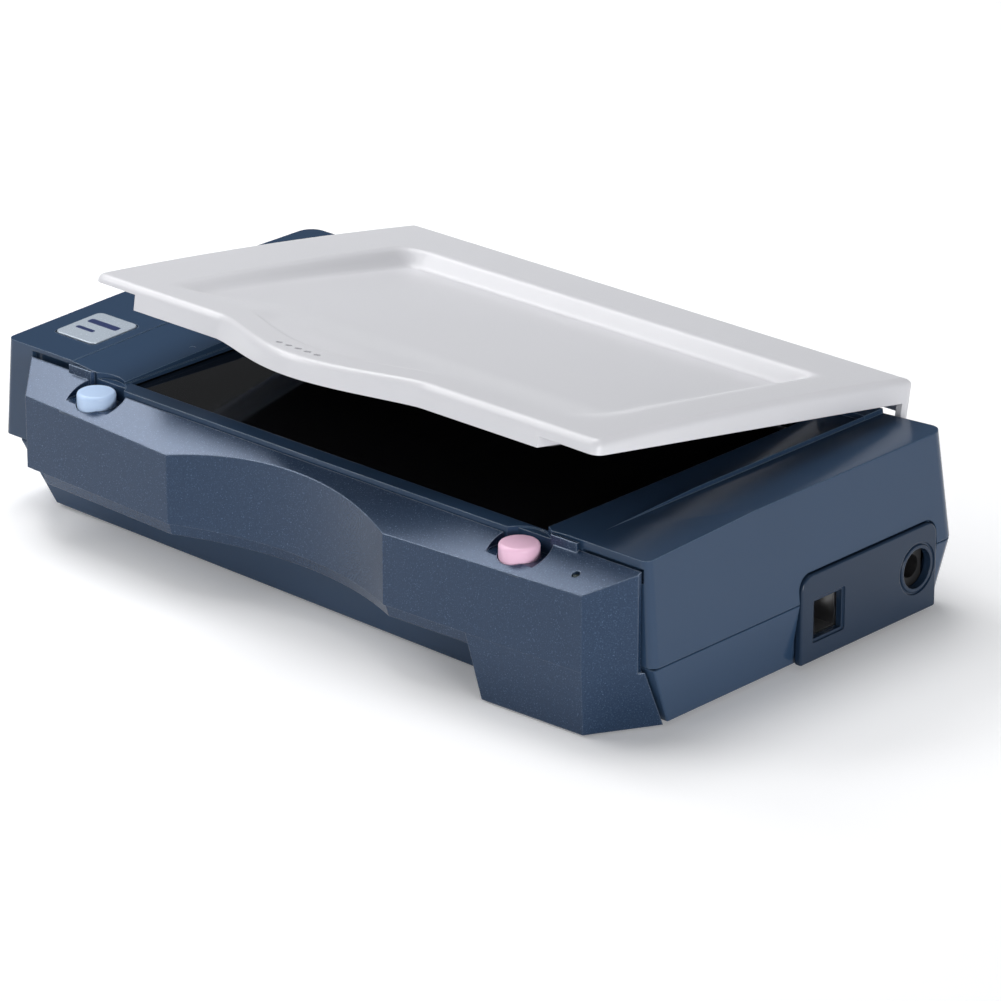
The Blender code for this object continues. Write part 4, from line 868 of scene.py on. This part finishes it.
def build_badge():
    centre = middle("name_badge")
    slope = front_tilt()
    outline = badge_outline()
    badge = loft("badge_plate", [(outline, -0.35 * MM), (outline, 0.3 * MM)], LOOKS["badge_silver"])
    bevel(badge, 0.3 * MM, angle=60)
    badge.location = centre
    badge.rotation_euler = (slope, 0, 0)
    settle(badge, "base", "name_badge")
    marks = (("badge_mark_wide", (-6 * MM, 6 * MM), (1.6 * MM, 4.2 * MM)),
             ("badge_mark_short", (-5.6 * MM, 1.6 * MM), (-3.4 * MM, -1.8 * MM)))
    for name, xs, ys in marks:
        outline = rounded_rectangle(xs, ys, 0.7 * MM)
        mark = loft(name, [(outline, 0.2 * MM), (outline, 0.32 * MM)], BLACK_MARK)
        mark.location = centre
        mark.rotation_euler = (slope, 0, 0)
        settle(mark, "base")


def build_port_panel():
    face = PORT_HIGH.x
    panel = side_plate("port_plate", port_outline(), (PORT_LOW.x, face), PORT_SHADE)
    bevel(panel, 0.6 * MM, angle=60)
    outside = (face - 8 * MM, face + PAST)
    shallow = (face - 0.5 * MM, face + PAST)
    usb_low, usb_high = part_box("usb_shell")
    usb_y = (usb_low.y + 0.2 * MM, usb_high.y - 0.2 * MM)
    usb_z = (usb_low.z + 0.6 * MM, usb_high.z)
    jack = middle("dc_jack_pin")
    step_outline = rounded_rectangle(
        (usb_y[0] - SOCKET_STEP, usb_y[1] + SOCKET_STEP),
        (usb_z[0] - SOCKET_STEP, usb_z[1] + SOCKET_STEP), SOCKET_CORNER)
    usb_step = side_plate("usb_step", step_outline, shallow)
    usb_hole = box("usb_hole", outside, usb_y, usb_z)
    jack_groove = cylinder("jack_groove", JACK_GROOVE_RADIUS, shallow, (jack.y, jack.z), "X")
    jack_ring = cylinder("jack_ring", JACK_RING_RADIUS, (face - 2 * MM, face), (jack.y, jack.z), "X")
    jack_hole = cylinder("jack_hole", JACK_HOLE_RADIUS, outside, (jack.y, jack.z), "X")
    cut(panel, usb_step, usb_hole, jack_groove)
    bevel(jack_ring, 0.35 * MM, angle=60)
    join(panel, jack_ring)
    cut(panel, jack_hole)
    settle(panel, "base", "port_panel")


# ---------------- lid, drawn closed about its hinge axis

HINGE = JOINTS["lid_hinge"]
HINGE_POINT = Vector(HINGE["pos_m"])
OPENED = Matrix.Translation(HINGE_POINT) @ Matrix.Rotation(math.radians(HINGE["range_deg"][0]), 4, "X")
LID_X = (-85 * MM, 105 * MM)
LID_FRONT = -131.6 * MM
LID_REAR = 3.2 * MM
LID_TOP = 14.05 * MM
CROWN_RADIUS = 1833 * MM
EDGE_BOTTOM_LEFT = 6.8 * MM
EDGE_BOTTOM_RIGHT = 5.1 * MM
EDGE_BOTTOM_REAR = 7.2 * MM
REAR_BOTTOM = 3.4 * MM
CAP_BOTTOM = 0.2 * MM
CAP_FRONT = -2.95 * MM
EDGE_RADIUS = 2.2 * MM
REAR_RADIUS = 6 * MM
RIM = 2.05 * MM
LID_THICKNESS = 2 * MM
TAB_X = 3.5 * MM
TAB_HALF = 39 * MM
TAB_REACH = 11.2 * MM
SKIRT_X = (-68 * MM, 84.6 * MM)
SKIRT_REAR = (-17 * MM, -15 * MM)
SKIRT_BOTTOM = 2.2 * MM
SKIRT_WALL = 2 * MM
TRAY_LEFT = -64.5 * MM
TRAY_RIGHT = 93 * MM
TRAY_REAR = -23.5 * MM
TRAY_WALL = 5.4 * MM
TRAY_RIGHT_WALL = 11.4 * MM
TRAY_CORNER = 9 * MM
TRAY_LENGTH = 96.5 * MM
TRAY_DEPTHS = (5 * MM, 2.2 * MM)
TRAY_FRONT = -124 * MM
STRAIGHT_ROWS_END = -116 * MM
GRIP_COUNT = 5
GRIP_START = (-6.4 * MM, -136.8 * MM)
GRIP_STEP = 3.6 * MM
KNUCKLE_RADIUS = 2.9 * MM
KNUCKLE_HALF = 3 * MM
KNUCKLE_BORE_RADIUS = 1.5 * MM
# Closely spaced distances from an edge, in millimetres, that draw its round
EDGE_STEPS = (0, 0.12, 0.4, 0.85, 1.4, 2.0, 2.1, 3.0, 4.0, 5.0)
ROUND_STEPS = EDGE_STEPS[:7]


def smooth(share):
    share = min(max(share, 0.0), 1.0)
    return share * share * (3 - 2 * share)


def ramp(share, turn=0.16):
    """A straight rise from 0 to 1 with a short round turn at each end."""
    share = min(max(share, 0.0), 1.0)
    steepness = 1 / (1 - turn)
    if share < turn:
        return steepness * share ** 2 / (2 * turn)
    if share > 1 - turn:
        return 1 - steepness * (1 - share) ** 2 / (2 * turn)
    return steepness * (share - turn / 2)


def lid_front(x):
    """How far forward the lid reaches at x: straight, with the grip tab in the middle."""
    share = (x - TAB_X + TAB_HALF) / (2 * TAB_HALF)
    if not 0 < share < 1:
        return LID_FRONT
    return LID_FRONT - TAB_REACH * math.sin(math.pi * share) ** 1.3


def fillet(distance, radius):
    """How much a rounded edge has dropped at a distance inside the outline."""
    if distance >= radius:
        return 0.0
    return radius - math.sqrt(radius ** 2 - (radius - distance) ** 2)


def tray_depth(x, y):
    depth = TRAY_DEPTHS[0] + (TRAY_DEPTHS[1] - TRAY_DEPTHS[0]) * (TRAY_REAR - y) / TRAY_LENGTH
    from_left = x - TRAY_LEFT
    from_rear = TRAY_REAR - y
    inside = min(from_left, from_rear)
    if max(from_left, from_rear) < TRAY_CORNER and inside > 0:
        inside = TRAY_CORNER - math.hypot(TRAY_CORNER - from_left, TRAY_CORNER - from_rear)
    walls = min(ramp(inside / TRAY_WALL), smooth((TRAY_RIGHT - x) / TRAY_RIGHT_WALL))
    run_out = 9 * MM + 0.5 * min(max(from_left, 0.0), 30 * MM)
    return depth * walls * smooth((y - TRAY_FRONT) / run_out)


def crease_depth(x, from_front):
    """The soft fold behind the grip tab: it drops quickly at its front and fades out to the rear."""
    along = smooth((x + 34 * MM) / (10 * MM)) * smooth((44 * MM - x) / (40 * MM))
    behind = from_front - 11.5 * MM
    return 0.9 * MM * along * smooth((behind + 1.2 * MM) / (1.6 * MM)) * smooth(1 - behind / (13 * MM))


def lid_columns():
    left = [LID_X[0] + step * MM for step in EDGE_STEPS]
    right = [LID_X[1] - step * MM for step in reversed(EDGE_STEPS)]
    corners = (SKIRT_X[0], SKIRT_X[0] + SKIRT_WALL, SKIRT_X[1] - SKIRT_WALL, SKIRT_X[1])
    walls = [x + side * 0.05 * MM for x in corners for side in (-1, 1)]
    spaced = [LID_X[0] + 8 * MM + step * 1.4 * MM for step in range(125)]
    inner = [x for x in spaced
             if x < LID_X[1] - 6 * MM and min(abs(x - wall) for wall in walls) > 0.35 * MM]
    return sorted(left + inner + walls + right)


def lid_rows():
    """Each row as (straight position, distance behind the front edge, share of the second)."""
    straight = [LID_REAR - step * MM for step in (*EDGE_STEPS, 6.1, 6.2, 9, 13)]
    straight += [SKIRT_REAR[1] + 0.05 * MM, SKIRT_REAR[1] - 0.05 * MM, SKIRT_REAR[0] + 0.05 * MM,
                 SKIRT_REAR[0] - 0.05 * MM, -20 * MM]
    straight += [TRAY_REAR - step * 0.75 * MM for step in range(12)]
    first = straight[-1]
    count = 46
    straight += [first + (STRAIGHT_ROWS_END - first) * (step + 1) / count for step in range(count)]
    rows = [(y, 0.0, 0.0) for y in straight]
    blended = 30
    rows += [(STRAIGHT_ROWS_END, 3 * MM, (step + 1) / blended) for step in range(blended)]
    rows += [(0.0, step * MM, 1.0) for step in reversed(ROUND_STEPS)]
    return rows


def lid_point(x, row):
    """Plan position, and the distances from the nearer side, the rear and the front edges."""
    straight, behind, share = row
    front = lid_front(x)
    y = straight * (1 - share) + (front + behind) * share
    side = min(x - LID_X[0], LID_X[1] - x)
    toward = -1 if x < sum(LID_X) / 2 else 1
    for radius, end_distance, sign in ((5 * MM, LID_REAR - y, 1), (3 * MM, y - front, -1)):
        across, along = radius - side, radius - end_distance
        if across > 0 and along > 0:
            longest = max(across, along)
            scale = longest / math.hypot(across, along)
            moved_x = x + toward * (across * scale - across)
            moved_y = y + sign * (along * scale - along)
            return moved_x, moved_y, side, LID_REAR - y, y - front
    return x, y, side, LID_REAR - y, y - front


def lid_top(x, y, side, from_rear, from_front):
    crown = LID_TOP - (y - 3 * MM) ** 2 / (2 * CROWN_RADIUS)
    edges = max(fillet(side, EDGE_RADIUS), fillet(from_front, EDGE_RADIUS), fillet(from_rear, REAR_RADIUS))
    return crown - edges - tray_depth(x, y) - crease_depth(x, from_front)


def lid_bottom(x, y, side, from_rear, from_front, top):
    in_skirt_x = SKIRT_X[0] < x < SKIRT_X[1]
    if from_front < RIM and in_skirt_x:
        return SKIRT_BOTTOM
    if side < RIM and y > CAP_FRONT:
        return CAP_BOTTOM
    if from_rear < RIM:
        return REAR_BOTTOM
    if min(side, from_front) < RIM:
        across = (x - LID_X[0]) / (LID_X[1] - LID_X[0])
        front = EDGE_BOTTOM_LEFT + (EDGE_BOTTOM_RIGHT - EDGE_BOTTOM_LEFT) * across
        return front + (EDGE_BOTTOM_REAR - front) * (y - LID_FRONT) / -LID_FRONT
    wall_x = in_skirt_x and not SKIRT_X[0] + SKIRT_WALL < x < SKIRT_X[1] - SKIRT_WALL
    if in_skirt_x and (SKIRT_REAR[0] < y < SKIRT_REAR[1] or (wall_x and y < SKIRT_REAR[1])):
        return SKIRT_BOTTOM
    return top - LID_THICKNESS


def build_lid():
    columns, rows = lid_columns(), lid_rows()
    shape = bmesh.new()
    upper, lower = [], []
    for row in rows:
        above, below = [], []
        for x in columns:
            place_x, place_y, side, from_rear, from_front = lid_point(x, row)
            top = lid_top(place_x, place_y, side, from_rear, from_front)
            bottom = lid_bottom(x, place_y, side, from_rear, from_front, top)
            above.append(shape.verts.new((place_x, place_y, top)))
            below.append(shape.verts.new((place_x, place_y, bottom)))
        upper.append(above)
        lower.append(below)
    for grid, turned_over in ((upper, False), (lower, True)):
        for near, far in zip(grid, grid[1:]):
            for index in range(len(columns) - 1):
                corners = (near[index], near[index + 1], far[index + 1], far[index])
                shape.faces.new(corners if turned_over else tuple(reversed(corners)))
    sides = [([row[end] for row in upper], [row[end] for row in lower]) for end in (0, -1)]
    for above, below in [(upper[0], lower[0]), (upper[-1], lower[-1])] + sides:
        for index in range(len(above) - 1):
            shape.faces.new((above[index], above[index + 1], below[index + 1], below[index]))
    shape.transform(OPENED)
    lid = place("lid_skin", mesh_from("lid_skin", shape), (0, 0, 0), LOOKS["lid_plastic"])
    cut(lid, *grip_cutters())
    settle(lid, "lid", "lid_shell", angle=40, flat_faces=False)
    for side in ("left", "right"):
        build_knuckle(side)
    build_mat()


def grip_cutters():
    """Cutters for the short dashes sunk in the grip tab."""
    cutters = []
    for index in range(GRIP_COUNT):
        x, y = GRIP_START[0] + index * GRIP_STEP, GRIP_START[1]
        top = lid_top(x, y, 1, 1, y - lid_front(x))
        outline = rounded_rectangle((-1.0 * MM, 1.0 * MM), (-0.65 * MM, 0.65 * MM), 0.5 * MM, steps=4)
        cutter = loft(f"grip_cutter_{index + 1}", [(outline, -0.5 * MM), (outline, 1 * MM)])
        slant = Matrix.Rotation(math.radians(25), 4, "Z")
        cutter.matrix_world = OPENED @ Matrix.Translation((x, y, top)) @ slant
        cutters.append(cutter)
    return cutters


def build_knuckle(side):
    """The eye that the hinge pin runs in, with the web that carries it to the lid."""
    x = middle(f"{side}_hinge_pin").x
    xs = (x - KNUCKLE_HALF, x + KNUCKLE_HALF)
    knuckle = cylinder(f"{side}_lid_knuckle", KNUCKLE_RADIUS, xs, (0, 0), "X", LOOKS["lid_plastic"])
    web = box(f"{side}_web", xs, (-2 * MM, 2.4 * MM), (0, 9.5 * MM))
    bore = cylinder(f"{side}_knuckle_bore", KNUCKLE_BORE_RADIUS, (x - 2 * PAST, x + 2 * PAST), (0, 0), "X")
    join(knuckle, web)
    bevel(knuckle, 0.3 * MM, segments=2, angle=50)
    cut(knuckle, bore)
    settle(knuckle, "lid")
    knuckle.matrix_parent_inverse = Matrix.Identity(4)
    knuckle.matrix_world = OPENED @ Matrix.Translation(knuckle.location)


def build_mat():
    """The foam pad that presses a document flat, inside the lid's skirt."""
    xs = (SKIRT_X[0] + SKIRT_WALL + GAP, SKIRT_X[1] - SKIRT_WALL - GAP)
    ys = (-123.9 * MM, SKIRT_REAR[0] - GAP)
    outline = rounded_rectangle(xs, ys, 1.5 * MM)
    mat = loft("foam_mat", [(outline, 0.7 * MM), (outline, 5 * MM)], LOOKS["mat_foam"])
    bevel(mat, 1.1 * MM, segments=4, angle=60)
    mat.matrix_world = OPENED
    settle(mat, "lid", "document_mat")


# ---------------- camera and studio

LIGHT_TARGET = Vector((0, 0, 40 * MM))
CAMERA_PLACE = (1.0003, -1.0617, 0.6128)
CAMERA_TILT = math.radians(67.75)
CAMERA_TURN = math.radians(42.8)
FOCAL_LENGTH = 200.74
FILM_WIDTH = 36
# Brightness of the sky from straight below (0) to straight above (1)
SKY_LEVELS = (
    (0.0, 0.3), (0.2, 0.5), (0.3, 0.7), (0.45, 0.8), (0.5, 1.0), (0.53, 0.6), (0.59, 0.08), (1.0, 0.2))


def build_camera():
    lens = bpy.data.cameras.new("camera")
    lens.lens = FOCAL_LENGTH
    lens.sensor_width = FILM_WIDTH
    camera = bpy.data.objects.new("camera", lens)
    camera.location = CAMERA_PLACE
    camera.rotation_euler = (CAMERA_TILT, 0, CAMERA_TURN)
    bpy.context.scene.collection.objects.link(camera)
    bpy.context.scene.camera = camera


def area_light(name, location, size, watts, long_side=(0, 0, 1)):
    """A soft box aimed at the scanner, given as width and length, with its length along long_side."""
    data = bpy.data.lights.new(name, "AREA")
    data.shape = "RECTANGLE"
    data.size, data.size_y = size
    data.energy = watts
    back = (Vector(location) - LIGHT_TARGET).normalized()
    across = Vector(long_side).cross(back).normalized()
    light = bpy.data.objects.new(name, data)
    light.rotation_euler = Matrix((across, back.cross(across), back)).transposed().to_euler()
    light.location = location
    bpy.context.scene.collection.objects.link(light)


def build_world():
    """A plain sky that is brightest round the horizon and dim overhead and underfoot."""
    world = bpy.data.worlds.new("studio")
    world.use_nodes = True
    nodes, links = world.node_tree.nodes, world.node_tree.links
    directions = nodes.new("ShaderNodeTexCoord")
    split = nodes.new("ShaderNodeSeparateXYZ")
    height = nodes.new("ShaderNodeMapRange")
    height.inputs["From Min"].default_value = -1.0
    shades = nodes.new("ShaderNodeValToRGB")
    for _ in range(len(SKY_LEVELS) - 2):
        shades.color_ramp.elements.new(0.5)
    for element, (position, level) in zip(shades.color_ramp.elements, SKY_LEVELS):
        element.position = position
        element.color = (level * 0.93, level * 0.96, level, 1.0)
    links.new(directions.outputs["Generated"], split.inputs["Vector"])
    links.new(split.outputs["Z"], height.inputs["Value"])
    links.new(height.outputs["Result"], shades.inputs["Fac"])
    links.new(shades.outputs["Color"], nodes["Background"].inputs["Color"])
    nodes["Background"].inputs["Strength"].default_value = 1.0
    bpy.context.scene.world = world


def build_studio():
    shape = bmesh.new()
    bmesh.ops.create_grid(shape, x_segments=1, y_segments=1, size=6.0)
    paper, shader = new_material("studio_paper", (0.95, 0.95, 0.96), 0.9)
    shader.inputs["Emission Color"].default_value = (1.0, 1.0, 1.0, 1.0)
    shader.inputs["Emission Strength"].default_value = 0.16
    wire(paper, spread(paper, noise(paper, 3.0), 0.88, 0.92), shader.inputs["Roughness"])
    floor = place("studio_floor", mesh_from("studio_floor", shape), (0, 0, 0), paper)
    bpy.context.scene.view_settings.view_transform = "Standard"
    area_light("left_softbox", (-0.72, 0.11, 0.78), (0.26, 0.26), 1.6)
    area_light("overhead_softbox", (-0.5, 0.25, 1.6), (1.0, 1.0), 16)
    area_light("edge_strip", (-0.72, -0.46, 0.75), (0.22, 0.8), 4, (0, 0.87, 0.5))
    area_light("side_fill", (1.35, -0.5, 0.22), (0.5, 0.5), 10.5)
    area_light("front_fill", (-0.4, -1.5, 0.6), (0.8, 0.8), 1.2)


def remove_cutters():
    for cutter in CUTTERS:
        bpy.data.objects.remove(cutter, do_unlink=True)


dress_cad_nodes()
build_case()
build_base()
build_panel()
build_buttons()
build_badge()
build_port_panel()
build_lid()
remove_cutters()
build_world()
build_studio()
build_camera()
